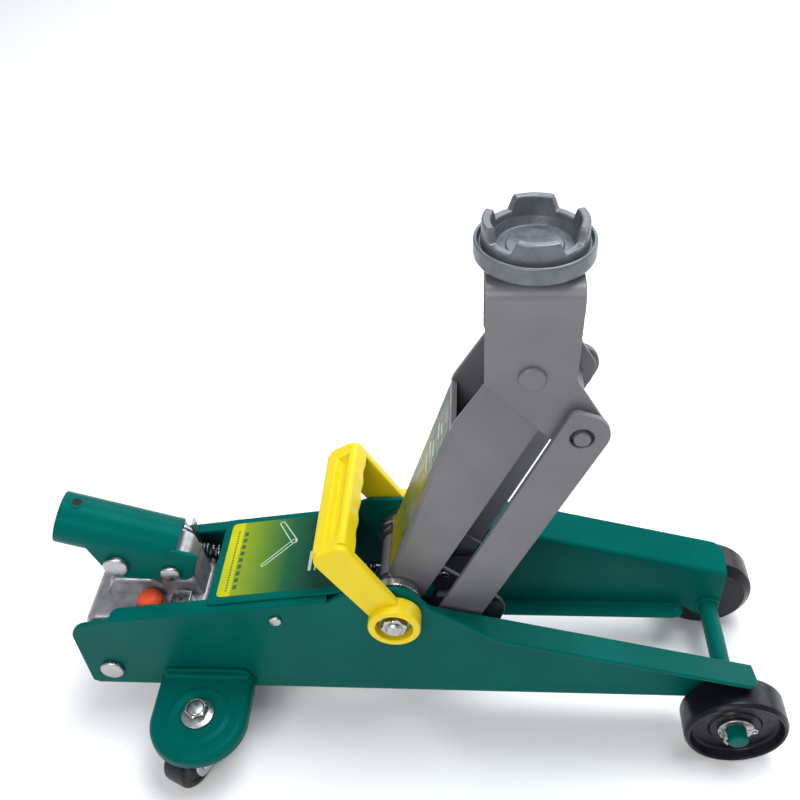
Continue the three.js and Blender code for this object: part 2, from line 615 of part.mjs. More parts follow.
place('pump_plunger', 'brightSteel', turnZ([
  [0, plungerBottom], [plungerRadius, plungerBottom], [plungerRadius, 112], [7.6, 112], [7.6, 118],
  [6.4, 119.4], [0, 119.4],
], pumpPin.x, 0, 20));
place('pump_spring', 'brightSteel', turnZ([
  [5.2, pumpSeat + gap], [7.6, pumpSeat + gap], [7.6, 111.6], [5.2, 111.6], [5.2, pumpSeat + gap],
], pumpPin.x, 0, 16));

// ---- handle socket ------------------------------------------------------------------------
function handleSocket() {
  const lie = (geometry) => geometry.rotateY(socketAngle).translate(socketEnd.x, 0, socketEnd.z);
  const tube = lie(rodX(0, 0, socketRadius, 0, socketLength, 24));
  const bore = lie(rodX(0, 0, socketBore, -1, socketLength + 1, 24));
  const mouth = lie(box(25, socketLength + 1, -socketBore, socketBore, -30, 0));
  const cheek = (y0, y1) => slabY(outline([
    [-188, 150], [-190, 140, 6], [-183, 120, 12], [-170, 112, 8], [-129, 111, 8], [-121, 138, 5],
    [-136, 143, 2], [-140, 132], [-160, 140],
  ]), y0, y1);
  const screwHole = lie(rodZ(11, 0, 2.6, 0, 30, 12));
  return cut(join(tube, cheek(-socketRadius, -socketBore), cheek(socketBore, socketRadius)),
    bore, mouth, screwHole, rodY(socketPivot, 5 + gap, -60, 60), rodY(pumpPin, 6 + gap, -60, 60));
}
place('handle_socket', 'greenPaint', handleSocket());
place('socket_pivot_pin', 'brightSteel', turnY([
  [0, -19.4], [5.4, -19.4], [6.3, -18.4], [6.3, -socketRadius - gap], [5, -socketRadius - gap],
  [5, socketRadius + gap], [6.3, socketRadius + gap], [6.3, 18.4], [5.4, 19.4], [0, 19.4],
], socketPivot, 20));
place('pump_pin', 'brightSteel', turnY([
  [0, -20.4], [6.6, -20.4], [7.8, -19.2], [7.8, -socketRadius - gap], [6, -socketRadius - gap],
  [6, socketRadius + gap], [7.8, socketRadius + gap], [7.8, 19.2], [6.6, 20.4], [0, 20.4],
], pumpPin, 24));
place('stop_clip', 'brightSteel', box(-135.6, -134.3, 19.8, 26.6, 98, 123.4));

// ---- carry handle -------------------------------------------------------------------------
const grip = { x: -33, z: 166 };
function carryHandle() {
  const reach = Math.hypot(grip.x - pivot.x, grip.z - pivot.z);
  const armLean = 1.5;              // the arms lean in this much between ring and grip
  const ring = turnY([
    [8.6, 38.6], [15.8, 38.6], [15.8, 49.8], [15, 50.6], [11, 50.6], [11, 42.6], [8.6, 42.6], [8.6, 38.6],
  ], { x: 0, z: 0 }, 24);
  // drawn upright, with the grip straight above the ring
  const arm = slabY(outline([
    [-11, 10], [11, 10], [12, reach + 6, 4], [-12, reach + 6, 4],
  ]), 0, 6);
  const lean = new THREE.Matrix4().set(
    1, 0, 0, 0,
    0, 1, -armLean / reach, 39.8,
    0, 0, 1, 0,
    0, 0, 0, 1,
  );
  const leaned = cut(arm.applyMatrix4(lean), rodY({ x: 0, z: 0 }, 13, 0, 60));
  const bar = box(-12, 12, -39, 39, reach - 7, reach + 6);
  const channel = box(-1, 6.5, -33, 33, reach + 2, reach + 9);
  const whole = cut(join(ring, mirrorY(ring), leaned, mirrorY(leaned), bar), channel);
  const tilt = Math.atan2(grip.x - pivot.x, grip.z - pivot.z);
  return whole.rotateY(tilt).translate(pivot.x, 0, pivot.z);
}
place('carry_handle', 'yellowPlastic', carryHandle());

jack.position.x = -originX;

export default jack;
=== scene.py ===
"""Hydraulic floor jack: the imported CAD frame, dressed with fine meshes and procedural materials.

Shapes are drawn in millimetres from the jack's main pivot: x runs from the pivot towards the front
wheels, y to the jack's left side and z up from the ground. A shape is a pair (points, faces).
"""

import math

import bmesh
import bpy
from mathutils import Matrix, Vector
from mathutils.geometry import tessellate_polygon


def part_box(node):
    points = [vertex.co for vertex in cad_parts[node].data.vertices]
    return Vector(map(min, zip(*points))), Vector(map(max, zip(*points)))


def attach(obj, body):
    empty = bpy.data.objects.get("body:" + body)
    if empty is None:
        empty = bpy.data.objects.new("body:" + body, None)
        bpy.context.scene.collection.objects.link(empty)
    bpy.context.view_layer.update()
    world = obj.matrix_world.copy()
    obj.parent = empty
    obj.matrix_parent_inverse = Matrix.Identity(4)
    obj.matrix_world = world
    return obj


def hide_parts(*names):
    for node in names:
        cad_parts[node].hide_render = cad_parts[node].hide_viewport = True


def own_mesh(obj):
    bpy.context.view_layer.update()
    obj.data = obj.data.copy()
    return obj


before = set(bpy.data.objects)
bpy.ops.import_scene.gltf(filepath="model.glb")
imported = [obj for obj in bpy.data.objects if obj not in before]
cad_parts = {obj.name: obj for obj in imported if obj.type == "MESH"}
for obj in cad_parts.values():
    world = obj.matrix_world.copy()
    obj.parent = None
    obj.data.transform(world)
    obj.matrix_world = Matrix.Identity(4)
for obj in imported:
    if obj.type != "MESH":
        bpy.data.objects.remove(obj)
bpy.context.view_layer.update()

MM = 0.001
SHARP_ANGLE = math.radians(38)        # folds steeper than this are shaded as edges
BEVEL_ANGLE = math.radians(40)        # folds steeper than this are rounded where a piece asks for it
BOTH_SIDES = (("left", 1), ("right", -1))


# ---- places taken from the frame ----
def corners_of(node):
    """Lowest and highest corner of a CAD node in millimetres, in the row frame."""
    low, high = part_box(node)
    return low / MM, high / MM


shaft_low, shaft_high = corners_of("main_shaft")
ORIGIN_X = (shaft_low.x + shaft_high.x) / 2          # the main pivot, in the row frame
FROM_PIVOT = Vector((ORIGIN_X, 0, 0))


def span(node):
    """The same corners measured from the main pivot."""
    low, high = corners_of(node)
    return low - FROM_PIVOT, high - FROM_PIVOT


def middle(node):
    low, high = span(node)
    return (low + high) / 2


PIVOT = middle("main_shaft")
ARM_PIN = middle("arm_pin")
LINK_HEAD = middle("link_pin")
LINK_FOOT = middle("link_stud_left")
CRANK = middle("crank_pin")
SPRING_PIN = middle("spring_pin")
FRONT_AXLE = middle("front_axle")
REAR_PIN = middle("rear_pin")
SOCKET_PIVOT = middle("socket_pivot_pin")
PUMP_PIN = middle("pump_pin")
COVER_SCREW = middle("cover_screw_left")
FILLER = middle("filler_plug")
VALVE = middle("release_valve")
CASTER = middle("caster_stem_left")

SHEET = 3.0                           # thickness of the pressed steel
PROUD = 0.04                          # a folded strip stands this much off its web
BOTTOM_FLANGE = 14.0                  # its width, inwards from the web's outer face
PLATE_LOW, PLATE_HIGH = span("side_plate_left")
PLATE_OUTER = PLATE_LOW.y + BOTTOM_FLANGE
PLATE_INNER = PLATE_OUTER - SHEET
PLATE_REAR = PLATE_LOW.x - 0.5
PLATE_FRONT = PLATE_HIGH.x
PLATE_BOTTOM = 29.0
FLANGE_OUTER = PLATE_HIGH.y
REAR_SLOPE = 0.17                     # the plates rise towards the main pivot
FRONT_SLOPE = 0.27                    # and fall from it towards the front wheels
SAME_PLACE = 0.001                    # points closer than this are one


def rear_top(x):
    """Height of a side plate's top edge behind the main pivot."""
    return 129.3 + REAR_SLOPE * x


def front_top(x):
    """Height of a side plate's top edge ahead of the main pivot."""
    return 123.0 - FRONT_SLOPE * x


# ---- outlines ----
def quarter_turn(steps):
    """Angles from zero to a right angle."""
    return [math.pi / 2 * k / steps for k in range(steps + 1)]


def full_turn(steps):
    return [2 * math.pi * k / steps for k in range(steps)]


def rounded(corners, step=9.0, chords=0):
    """A closed loop through corners (u, v) or (u, v, radius).

    A round corner is made of chords of about step degrees, or of a set number of chords.
    """
    corners = [corner for i, corner in enumerate(corners)
               if (Vector(corner[:2]) - Vector(corners[i - 1][:2])).length > SAME_PLACE]
    count = len(corners)
    points = []
    for i, corner in enumerate(corners):
        here = Vector(corner[:2])
        radius = corner[2] if len(corner) > 2 else 0
        if not radius:
            points.append(here)
            continue
        before = (Vector(corners[i - 1][:2]) - here).normalized()
        after = (Vector(corners[(i + 1) % count][:2]) - here).normalized()
        half = before.angle(after) / 2
        centre = here + (before + after).normalized() * (radius / math.sin(half))
        start = here + before * (radius / math.tan(half)) - centre
        sweep = math.pi - 2 * half
        if before.cross(after) > 0:
            sweep = -sweep
        steps = chords or max(2, math.ceil(abs(math.degrees(sweep)) / step))
        first = math.atan2(start.y, start.x)
        for k in range(steps + 1):
            angle = first + sweep * k / steps
            points.append(centre + Vector((math.cos(angle), math.sin(angle))) * radius)
    return points


def circle(u, v, radius, sides=40, clockwise=False):
    turn = -1 if clockwise else 1
    return [Vector((u + radius * math.cos(turn * a), v + radius * math.sin(turn * a)))
            for a in full_turn(sides)]


def bar(a, b, radius_a, radius_b, sides=20):
    """A closed loop around two points (u, v): a bar with round ends."""
    a, b = Vector(a), Vector(b)
    direction = b - a
    angle = math.atan2(direction.y, direction.x)
    lean = math.asin((radius_a - radius_b) / direction.length)
    quarter = math.pi / 2
    points = []
    for centre, radius, first, sweep in (
        (a, radius_a, angle + quarter - lean, math.pi + 2 * lean),
        (b, radius_b, angle - quarter + lean, math.pi - 2 * lean),
    ):
        for k in range(sides + 1):
            t = first + sweep * k / sides
            points.append(centre + Vector((math.cos(t), math.sin(t))) * radius)
    return points


def moved_left(loop, distance):
    """The loop moved to its left side: inwards if it runs anticlockwise."""
    result = []
    for i, here in enumerate(loop):
        before = (here - loop[i - 1]).normalized()
        after = (loop[(i + 1) % len(loop)] - here).normalized()
        normal = Vector((-(before.y + after.y), before.x + after.x)).normalized()
        reach = max(normal.dot(Vector((-before.y, before.x))), 0.4)    # 0.4 holds sharp corners back
        result.append(here + normal * (distance / reach))
    return result


def smooth_step(value):
    """A soft step from almost 0 to 1 as the value goes from 0 to 1."""
    t = min(max(value, 0.02), 1)
    return t * t * (3 - 2 * t)


def anticlockwise(loop):
    """The loop, turned round if it runs clockwise."""
    area = sum(loop[i - 1].cross(loop[i]) for i in range(len(loop)))
    return loop[::-1] if area < 0 else loop


# ---- shapes ----
def upright(point, depth):
    """A side-view point (x, z) at a depth along y."""
    return Vector((point.x, depth, point.y))


def flat(point, depth):
    """A plan-view point (x, y) at a height."""
    return Vector((point.x, point.y, depth))


def facing(point, depth):
    """An end-view point (y, z) at a place along x."""
    return Vector((depth, point.x, point.y))


def plate(outline, low, high, edge=0.7, holes=(), lay=upright, segments=3):
    """A plate with rounded edges. The outline runs anticlockwise and the holes clockwise."""
    levels = [(edge * (1 - math.sin(t)), low + edge * (1 - math.cos(t))) for t in quarter_turn(segments)]
    levels += [(inward, low + high - depth) for inward, depth in reversed(levels)]
    points = []
    faces = []
    ends = ([], [])
    for loop in (outline, *holes):
        first = len(points)
        count = len(loop)
        for inward, depth in levels:
            points += [lay(p, depth) for p in moved_left(loop, inward)]
        for k in range(len(levels) - 1):
            for i in range(count):
                j = (i + 1) % count
                a, b = first + k * count, first + (k + 1) * count
                faces.append((a + i, a + j, b + j, b + i))
        ends[0].append([first + i for i in range(count)])
        ends[1].append([first + (len(levels) - 1) * count + i for i in range(count)])
    for loops in ends:
        order = [i for loop in loops for i in loop]
        triangles = tessellate_polygon([[points[i] for i in loop] for loop in loops])
        faces += [tuple(order[i] for i in triangle) for triangle in triangles]
    return points, faces


def loft(rings, closed=False):
    """A skin over rings of points, with flat ends, or joined end to end."""
    count = len(rings[0])
    points = [p for ring in rings for p in ring]
    faces = []
    last = len(rings) if closed else len(rings) - 1
    for k in range(last):
        a, b = k * count, (k + 1) % len(rings) * count
        for i in range(count):
            j = (i + 1) % count
            faces.append((a + i, a + j, b + j, b + i))
    if not closed:
        for start in (0, (len(rings) - 1) * count):
            triangles = tessellate_polygon([[points[start + i] for i in range(count)]])
            faces += [tuple(start + i for i in triangle) for triangle in triangles]
    return points, faces


def strip(stations):
    """A folded strip: a closed end-view section at each place along x."""
    return loft([[facing(p, x) for p in section] for x, section in stations])


def around(profile, angle):
    """A profile of points (radius, height) stood up at an angle about z."""
    return [Vector((p.x * math.cos(angle), p.x * math.sin(angle), p.y)) for p in profile]


def turned(corners, sides=56):
    """A profile of corners (radius, height[, rounding]) turned about z."""
    profile = rounded(corners, 22)
    return loft([around(profile, angle) for angle in full_turn(sides)], closed=True)


def nut(across_flats, bore, height, chamfer=1.2):
    """A chamfered hexagon nut standing on z = 0."""
    sides = 72
    corner = across_flats / math.sqrt(3)
    levels = [(0, corner - chamfer), (chamfer * 0.55, corner), (height - chamfer * 0.55, corner),
              (height, corner - chamfer)]
    inner = circle(0, 0, bore, sides)
    rings = [[flat(p, 0) for p in inner]]
    for z, limit in levels:
        ring = []
        for angle in full_turn(sides):
            off = (angle + math.pi / 6) % (math.pi / 3) - math.pi / 6
            radius = min(across_flats / 2 / math.cos(off), limit)
            if z in (0, height):
                radius = min(radius, across_flats / 2 - 0.3)
            ring.append(Vector((radius * math.cos(angle), radius * math.sin(angle), z)))
        rings.append(ring)
    rings.append([flat(p, height) for p in inner])
    return loft(rings, closed=True)


def tube(path, radius, sides=10, closed=False):
    """A round wire along a path of points."""
    rings = []
    side = None
    count = len(path)
    for i, here in enumerate(path):
        ahead = path[(i + 1) % count] if closed or i + 1 < count else here
        behind = path[i - 1] if closed or i else here
        along = (ahead - behind).normalized()
        if side is None:
            side = along.orthogonal().normalized()
        side = (side - along * side.dot(along)).normalized()
        over = along.cross(side)
        rings.append([here + (side * math.cos(t) + over * math.sin(t)) * radius for t in full_turn(sides)])
    return loft(rings, closed)


def coil(start, end, radius, wire, turns, flat_turns=1.0):
    """A coil spring of round wire from start to end, its last turns closed up."""
    axis = end - start
    length = axis.length
    steps = int(turns * 20)
    path = []
    for k in range(steps + 1):
        done = turns * k / steps
        inside = min(max((done - flat_turns) / (turns - 2 * flat_turns), 0), 1)
        lead = min(done, flat_turns) + max(done - turns + flat_turns, 0)
        height = wire + lead * 2.05 * wire + inside * (length - 2 * wire - flat_turns * 4.1 * wire)
        angle = 2 * math.pi * done
        path.append(Vector((radius * math.cos(angle), radius * math.sin(angle), height)))
    shape = tube(path, wire, 8)
    return placed(shape, axis.to_track_quat("Z", "Y").to_matrix().to_4x4(), start)


def cleaned_mesh(name, points, faces, join, thin=0.0):
    """A mesh with near points joined, faces thinner than thin dissolved and all faces outwards."""
    mesh = bpy.data.meshes.new(name)
    mesh.from_pydata(points, [], faces)
    cleaned = bmesh.new()
    cleaned.from_mesh(mesh)
    bmesh.ops.remove_doubles(cleaned, verts=cleaned.verts, dist=join)
    if thin:
        bmesh.ops.dissolve_degenerate(cleaned, edges=cleaned.edges, dist=thin)
    bmesh.ops.recalc_face_normals(cleaned, faces=cleaned.faces)
    cleaned.to_mesh(mesh)
    cleaned.free()
    return mesh


def cut_away(shape, tool):
    """The shape with another shape cut out of it."""
    made = []
    for points, faces in (shape, tool):
        mesh = cleaned_mesh("cutting", points, faces, SAME_PLACE)
        made.append(bpy.data.objects.new("cutting", mesh))
        bpy.context.scene.collection.objects.link(made[-1])
    cut = made[0].modifiers.new("cut", "BOOLEAN")
    cut.operation = "DIFFERENCE"
    cut.solver = "EXACT"
    cut.object = made[1]
    result = made[0].evaluated_get(bpy.context.evaluated_depsgraph_get()).to_mesh()
    points = [vertex.co.copy() for vertex in result.vertices]
    faces = [tuple(polygon.vertices) for polygon in result.polygons]
    for thing in made:
        bpy.data.meshes.remove(thing.data)
    return points, faces


def placed(shape, rotation=None, shift=(0, 0, 0)):
    """The shape turned by a matrix and then moved."""
    matrix = Matrix.Translation(Vector(shift)) @ (rotation or Matrix.Identity(4))
    return [matrix @ p for p in shape[0]], shape[1]


def about_y(shape, centre):
    """A shape turned about z laid along y through a point: its height becomes y."""
    turn = Matrix(((1, 0, 0, 0), (0, 0, 1, 0), (0, -1, 0, 0), (0, 0, 0, 1)))
    return placed(shape, turn, (centre.x, 0, centre.z))


def about_x(shape, y, z):
    turn = Matrix(((0, 0, 1, 0), (0, 1, 0, 0), (-1, 0, 0, 0), (0, 0, 0, 1)))
    return placed(shape, turn, (0, y, z))


def about_z(shape, x, y):
    return placed(shape, None, (x, y, 0))


def mirrored(shape):
    return [Vector((p.x, -p.y, p.z)) for p in shape[0]], [tuple(reversed(f)) for f in shape[1]]


def combined(*shapes):
    points = []
    faces = []
    for more_points, more_faces in shapes:
        base = len(points)
        points += more_points
        faces += [tuple(base + i for i in face) for face in more_faces]
    return points, faces


def block(low, high, edge=0.5):
    """A box with rounded edges between two corners (x, y, z)."""
    corner = 1.6 * edge
    loop = rounded([(low[0], low[2], corner), (high[0], low[2], corner), (high[0], high[2], corner),
                    (low[0], high[2], corner)], 30)
    return plate(loop, low[1], high[1], edge)


def sheared(shape, slope):
    """The shape raised by slope times x."""
    return [Vector((p.x, p.y, p.z + slope * p.x)) for p in shape[0]], shape[1]


# ---- materials ----
class Look:
    """A procedural material and short ways to add nodes to it."""

    def __init__(self, name, colour, roughness, metallic=0.0, specular=0.5):
        self.material = bpy.data.materials.new(name)
        self.material.use_nodes = True
        self.tree = self.material.node_tree
        self.shader = self.tree.nodes["Principled BSDF"]
        self.shader.inputs["Base Color"].default_value = (*colour, 1)
        self.shader.inputs["Roughness"].default_value = roughness
        self.shader.inputs["Metallic"].default_value = metallic
        self.shader.inputs["Specular IOR Level"].default_value = specular
        self.place = self.tree.nodes.new("ShaderNodeTexCoord").outputs["Object"]
        self.height = None

    def node(self, kind, **inputs):
        made = self.tree.nodes.new(kind)
        for key, value in inputs.items():
            socket = made.inputs[key.replace("_", " ")]
            if isinstance(value, bpy.types.NodeSocket):
                self.tree.links.new(value, socket)
            else:
                socket.default_value = value
        return made

    def noise(self, size_mm, detail=4.0, stretch=(1, 1, 1)):
        """Noise whose patches are about size_mm across."""
        mapping = self.node("ShaderNodeMapping", Vector=self.place, Scale=stretch)
        return self.node("ShaderNodeTexNoise", Vector=mapping.outputs[0], Scale=1000 / size_mm,
                         Detail=detail).outputs[0]

    def ramp(self, factor, low, high, value_low, value_high):
        """factor between low and high mapped onto two values."""
        made = self.node("ShaderNodeMapRange", Value=factor)
        made.inputs["From Min"].default_value = low
        made.inputs["From Max"].default_value = high
        made.inputs["To Min"].default_value = value_low
        made.inputs["To Max"].default_value = value_high
        return made.outputs[0]

    def blend(self, factor, first, second):
        made = self.tree.nodes.new("ShaderNodeMix")
        made.data_type = "RGBA"
        self.tree.links.new(factor, made.inputs[0])
        # On this node inputs 6 and 7 are the two colours, and output 2 is the mixed one.
        for socket, value in ((made.inputs[6], first), (made.inputs[7], second)):
            if isinstance(value, bpy.types.NodeSocket):
                self.tree.links.new(value, socket)
            else:
                socket.default_value = (*value, 1)
        return made.outputs[2]

    def paint_with(self, colour):
        self.tree.links.new(colour, self.shader.inputs["Base Color"])

    def roughen(self, value):
        self.tree.links.new(value, self.shader.inputs["Roughness"])

    def bump(self, height, depth_mm, strength=1.0):
        """Adds a bump of about depth_mm on top of those made before."""
        made = self.node("ShaderNodeBump", Height=height, Distance=depth_mm * MM, Strength=strength)
        if self.height is not None:
            self.tree.links.new(self.height, made.inputs["Normal"])
        self.height = made.outputs[0]
        self.tree.links.new(self.height, self.shader.inputs["Normal"])


def shade(colour, factor):
    return tuple(c * factor for c in colour)


def sprayed_paint(name, colour, roughness, metallic=0.0, specular=0.5, tint=(1, 1, 1)):
    """Paint on pressed steel: slight orange peel, drifting tone and a dusty roughness."""
    look = Look(name, colour, roughness, metallic, specular)
    look.shader.inputs["Specular Tint"].default_value = (*tint, 1)
    drift = look.noise(60, 3)
    look.paint_with(look.blend(look.ramp(drift, 0.35, 0.65, 0, 1), shade(colour, 0.9), shade(colour, 1.1)))
    look.roughen(look.ramp(look.noise(14, 5), 0.3, 0.7, roughness * 0.85, roughness * 1.25))
    look.bump(look.noise(25, 2), 0.10, 0.35)
    look.bump(look.noise(1.6, 2), 0.02, 0.35)
    return look.material


def bare_steel(name, colour, roughness, stretch=(1, 1, 1), tint=(0.40, 0.37, 0.30)):
    """Zinc plated or machined steel with faint scratches and a few yellowed patches."""
    look = Look(name, colour, roughness, 1.0)
    patches = look.ramp(look.noise(9, 5), 0.55, 0.75, 0, 0.35)
    look.paint_with(look.blend(patches, colour, tint))
    look.roughen(look.ramp(look.noise(3, 6, stretch), 0.3, 0.7, roughness * 0.7, roughness * 1.5))
    look.bump(look.noise(0.8, 3, stretch), 0.01, 0.25)
    return look.material


def casting(name, colour, roughness, metallic, depth=0.25):
    """Sand casting sprayed with silver paint."""
    look = Look(name, colour, roughness, metallic)
    tone = look.ramp(look.noise(7, 6), 0.3, 0.7, 0, 1)
    look.paint_with(look.blend(tone, shade(colour, 0.75), shade(colour, 1.12)))
    look.roughen(look.ramp(look.noise(2.5, 4), 0.3, 0.7, roughness * 0.8, roughness * 1.3))
    look.bump(look.noise(6, 4), depth * 1.6, 0.45)
    look.bump(look.noise(1.1, 5), depth, 0.5)
    return look.material


def moulded(name, colour, roughness, specular=0.5, mottle=0.06):
    """Moulded plastic or rubber with a soft sheen and small scuffs."""
    look = Look(name, colour, roughness, 0.0, specular)
    tone = look.ramp(look.noise(22, 4), 0.3, 0.7, 0, 1)
    look.paint_with(look.blend(tone, shade(colour, 1 - mottle), shade(colour, 1 + mottle)))
    look.roughen(look.ramp(look.noise(5, 5), 0.35, 0.7, roughness * 0.8, roughness * 1.4))
    look.bump(look.noise(12, 2), 0.08, 0.3)
    look.bump(look.noise(0.7, 2), 0.015, 0.35)
    return look.material


GREEN = (0.0, 0.08, 0.066)
GREY = (0.145, 0.143, 0.153)
YELLOW = (0.66, 0.50, 0.006)

green_paint = sprayed_paint("green_enamel", GREEN, 0.32, specular=0.08, tint=(0.1, 0.85, 1))
grey_paint = sprayed_paint("grey_enamel", GREY, 0.4, 0.2, 0.25)
# Near-black blue-grey for the crank plates: painted shade, standing in for the shadow in the gap between the
# arm's front edge and the links.
crank_painted_shade = sprayed_paint("crank_painted_shade_enamel", (0.035, 0.04, 0.05), 0.4, specular=0.3)
saddle_paint = casting("grey_casting", (0.125, 0.135, 0.155), 0.38, 0.4, 0.1)
silver_casting = casting("silver_casting", (0.36, 0.36, 0.385), 0.4, 0.7)
zinc_steel = bare_steel("zinc_plate", (0.42, 0.42, 0.425), 0.3)
brushed_steel = bare_steel("brushed_steel", (0.5, 0.5, 0.51), 0.24, (1, 7, 7))
dark_steel = bare_steel("oiled_steel", (0.12, 0.12, 0.13), 0.42, tint=(0.1, 0.07, 0.05))
spring_steel = bare_steel("spring_steel", (0.16, 0.16, 0.18), 0.24)
yellow_plastic = moulded("yellow_plastic", YELLOW, 0.34, 0.25, 0.03)
orange_rubber = moulded("orange_rubber", (0.60, 0.07, 0.02), 0.5, 0.3)
black_nylon = moulded("black_nylon", (0.006, 0.006, 0.008), 0.3, 0.2)
label_ink = moulded("label_ink", (0.03, 0.08, 0.03), 0.4)
label_pale = moulded("label_pale", (0.36, 0.46, 0.36), 0.4)


def label_film(name, axis, stops):
    """A glossy label whose colour runs along one row axis through stops of (place in mm, colour)."""
    look = Look(name, stops[0][1], 0.35, 0.0, 0.08)
    along = look.node("ShaderNodeSeparateXYZ", Vector=look.place).outputs[axis]
    colour = stops[0][1]
    for (place, _), (next_place, next_colour) in zip(stops, stops[1:]):
        factor = look.ramp(along, place * MM, next_place * MM, 0, 1)
        colour = look.blend(factor, colour, next_colour)
    drift = look.ramp(look.noise(30, 3), 0.3, 0.7, 0, 0.25)
    look.paint_with(look.blend(drift, colour, (0.02, 0.1, 0.03)))
    look.roughen(look.ramp(look.noise(8, 4), 0.3, 0.7, 0.22, 0.4))
    look.bump(look.noise(18, 2), 0.06, 0.4)
    return look.material


# ---- pieces ----
def piece(name, shape, material, body, nodes=(), bevel=0.0):
    """Makes one shape an object that rides on a body and stands for CAD nodes."""
    points, faces = shape
    mesh = cleaned_mesh(name, [(p + FROM_PIVOT) * MM for p in points], faces, 0.00001, 0.000005)
    made = bpy.data.objects.new(name, mesh)
    bpy.context.scene.collection.objects.link(made)
    mesh.materials.append(material)
    if bevel:
        rounding = made.modifiers.new("rounded_edges", "BEVEL")
        rounding.width = bevel * MM
        rounding.segments = 3
        rounding.limit_method = "ANGLE"
        rounding.angle_limit = BEVEL_ANGLE
        rounding.use_clamp_overlap = True
    mesh.shade_smooth()
    mesh.set_sharp_from_angle(angle=SHARP_ANGLE)
    weighted = made.modifiers.new("flat_faces", "WEIGHTED_NORMAL")
    weighted.keep_sharp = True
    weighted.weight = 80
    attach(made, body)
    for node in nodes:
        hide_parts(node)
    return made


def pair(name, shape, material, body, follows_side=False):
    """A left piece and its mirror image, each in place of the CAD node of its name."""
    for side, sign in BOTH_SIDES:
        node = f"{name}_{side}"
        side_body = f"{body}_{side}" if follows_side else body
        side_shape = shape if sign > 0 else mirrored(shape)
        piece(f"{name}_skin_{side}", side_shape, material, side_body, [node])


# ---- side plates ----
def outward_flange(x, outer):
    """Section of the front flange: folded out of the web and rising outwards."""
    outer = min(outer, FLANGE_OUTER)
    top = front_top(x)
    rise = 6 / 19                     # the flange's slope outwards
    lip = top + rise * (outer - PLATE_OUTER)
    inner, web = PLATE_INNER - PROUD, PLATE_OUTER + PROUD
    return rounded([
        (inner, top - 10), (web, top - 10), (web, top - SHEET, 0.8), (outer, lip - SHEET, 0.7),
        (outer, lip, 1.0), (inner, top + rise * (inner - PLATE_OUTER), 3.4),
    ], 18)


def inward_flange(x, inner_edge):
    """Section of the rear flange: folded in over the pump."""
    top = rear_top(x)
    inner, web = PLATE_INNER - PROUD, PLATE_OUTER + PROUD
    return rounded([
        (web, top - 10), (web, top, 3.4), (inner_edge, top, 1.0), (inner_edge, top - SHEET, 0.7),
        (inner, top - SHEET, 0.8), (inner, top - 10),
    ], 18)


def bottom_flange(inner_edge):
    inner, web = PLATE_INNER - PROUD, PLATE_OUTER + PROUD
    low = PLATE_BOTTOM
    return rounded([
        (web, low, 3.4), (web, low + 10), (inner, low + 10), (inner, low + SHEET, 0.8),
        (inner_edge, low + SHEET, 0.7), (inner_edge, low, 1.0),
    ], 18)


def side_plate():
    fold = 4.0                        # the web stops this far short of a fold
    ear = FRONT_AXLE.z - 11
    front = PLATE_FRONT
    web = plate(rounded([
        (PLATE_REAR + 2, PLATE_BOTTOM + 2, 3), (-198, PLATE_BOTTOM + fold), (186, PLATE_BOTTOM + fold),
        (192, PLATE_BOTTOM - 0.4, 3), (202.5, ear, 8), (front, ear, 8), (front, front_top(front) - fold),
        (26, front_top(26) - fold), (20, front_top(20) - 1, 4), (8, 133, 12), (-22, 132, 18),
        (-34, rear_top(-34) + 1, 6), (-42, rear_top(-42) - fold), (-178, rear_top(-178) - fold),
        (-180, rear_top(-180)), (-186, rear_top(-186) - 2.0, 14), (PLATE_REAR, 90, 14),
    ], 7), PLATE_INNER, PLATE_OUTER, 0.8)
    stations = []
    corner = 8.0                      # rounding of the flange's front corner
    for x, outer in ((22, 40.8), (30, 43.5), (40, 48.0), (48, 52.0), (55, 55.2), (62, 56.6), (72, 57.0)):
        stations.append((x, outward_flange(x, outer)))
    for turn in quarter_turn(8):
        x = front - corner + corner * math.sin(turn)
        stations.append((x, outward_flange(x, FLANGE_OUTER - corner + corner * math.cos(turn))))
    front_flange = strip(stations)
    rear_flange = strip([(x, inward_flange(x, edge)) for x, edge in (
        (-180, 31.6), (-178.6, 29.4), (-176, 28.5), (-45, 28.5), (-42.4, 29.4), (-41, 31.6))])
    bottom = strip([(x, bottom_flange(edge)) for x, edge in (
        (-203, 28), (-201, 25), (-197, 24), (184, 24), (188, 25), (190.5, 28))])
    return combined(web, front_flange, rear_flange, bottom)


pair("side_plate", side_plate(), green_paint, "chassis")


def weld_bead(centre, y, radius, wire):
    """A lumpy weld bead round a pin where it meets a plate."""
    path = []
    for turn in full_turn(48):
        swell = radius + 0.25 * math.sin(turn * 9)
        path.append(Vector((centre.x + swell * math.cos(turn), y, centre.z + swell * math.sin(turn))))
    return tube(path, wire, 8, closed=True)


axle_weld = weld_bead(FRONT_AXLE, PLATE_INNER - 0.6, 6.6, 1.5)
piece("axle_welds", combined(axle_weld, mirrored(axle_weld)), green_paint, "chassis")


# ---- cover ----
COVER_REAR = span("cover_plate")[0].x
COVER_FRONT = span("cover_plate")[1].x
COVER_HALF = span("cover_plate")[1].y
COVER_TOP = rear_top(0) + 2.3


def cover_plate():
    loop = rounded([
        (COVER_REAR, -COVER_HALF, 2), (COVER_FRONT, -COVER_HALF, 2),
        (COVER_FRONT, COVER_HALF, 2), (COVER_REAR, COVER_HALF, 2),
    ], 20)
    roof = sheared(plate(loop, COVER_TOP - 2, COVER_TOP, 0.7, lay=flat), REAR_SLOPE)
    tab = block((COVER_SCREW.x - 8, 26, 94), (COVER_SCREW.x + 8, 28, rear_top(COVER_SCREW.x) + 1), 0.4)
    lip = block((COVER_REAR, -26, rear_top(COVER_REAR) - 6),
                (COVER_REAR + 2, 26, rear_top(COVER_REAR) + 1.5), 0.6)
    return combined(roof, tab, mirrored(tab), lip)


piece("cover_skin", cover_plate(), green_paint, "chassis", ["cover_plate"])


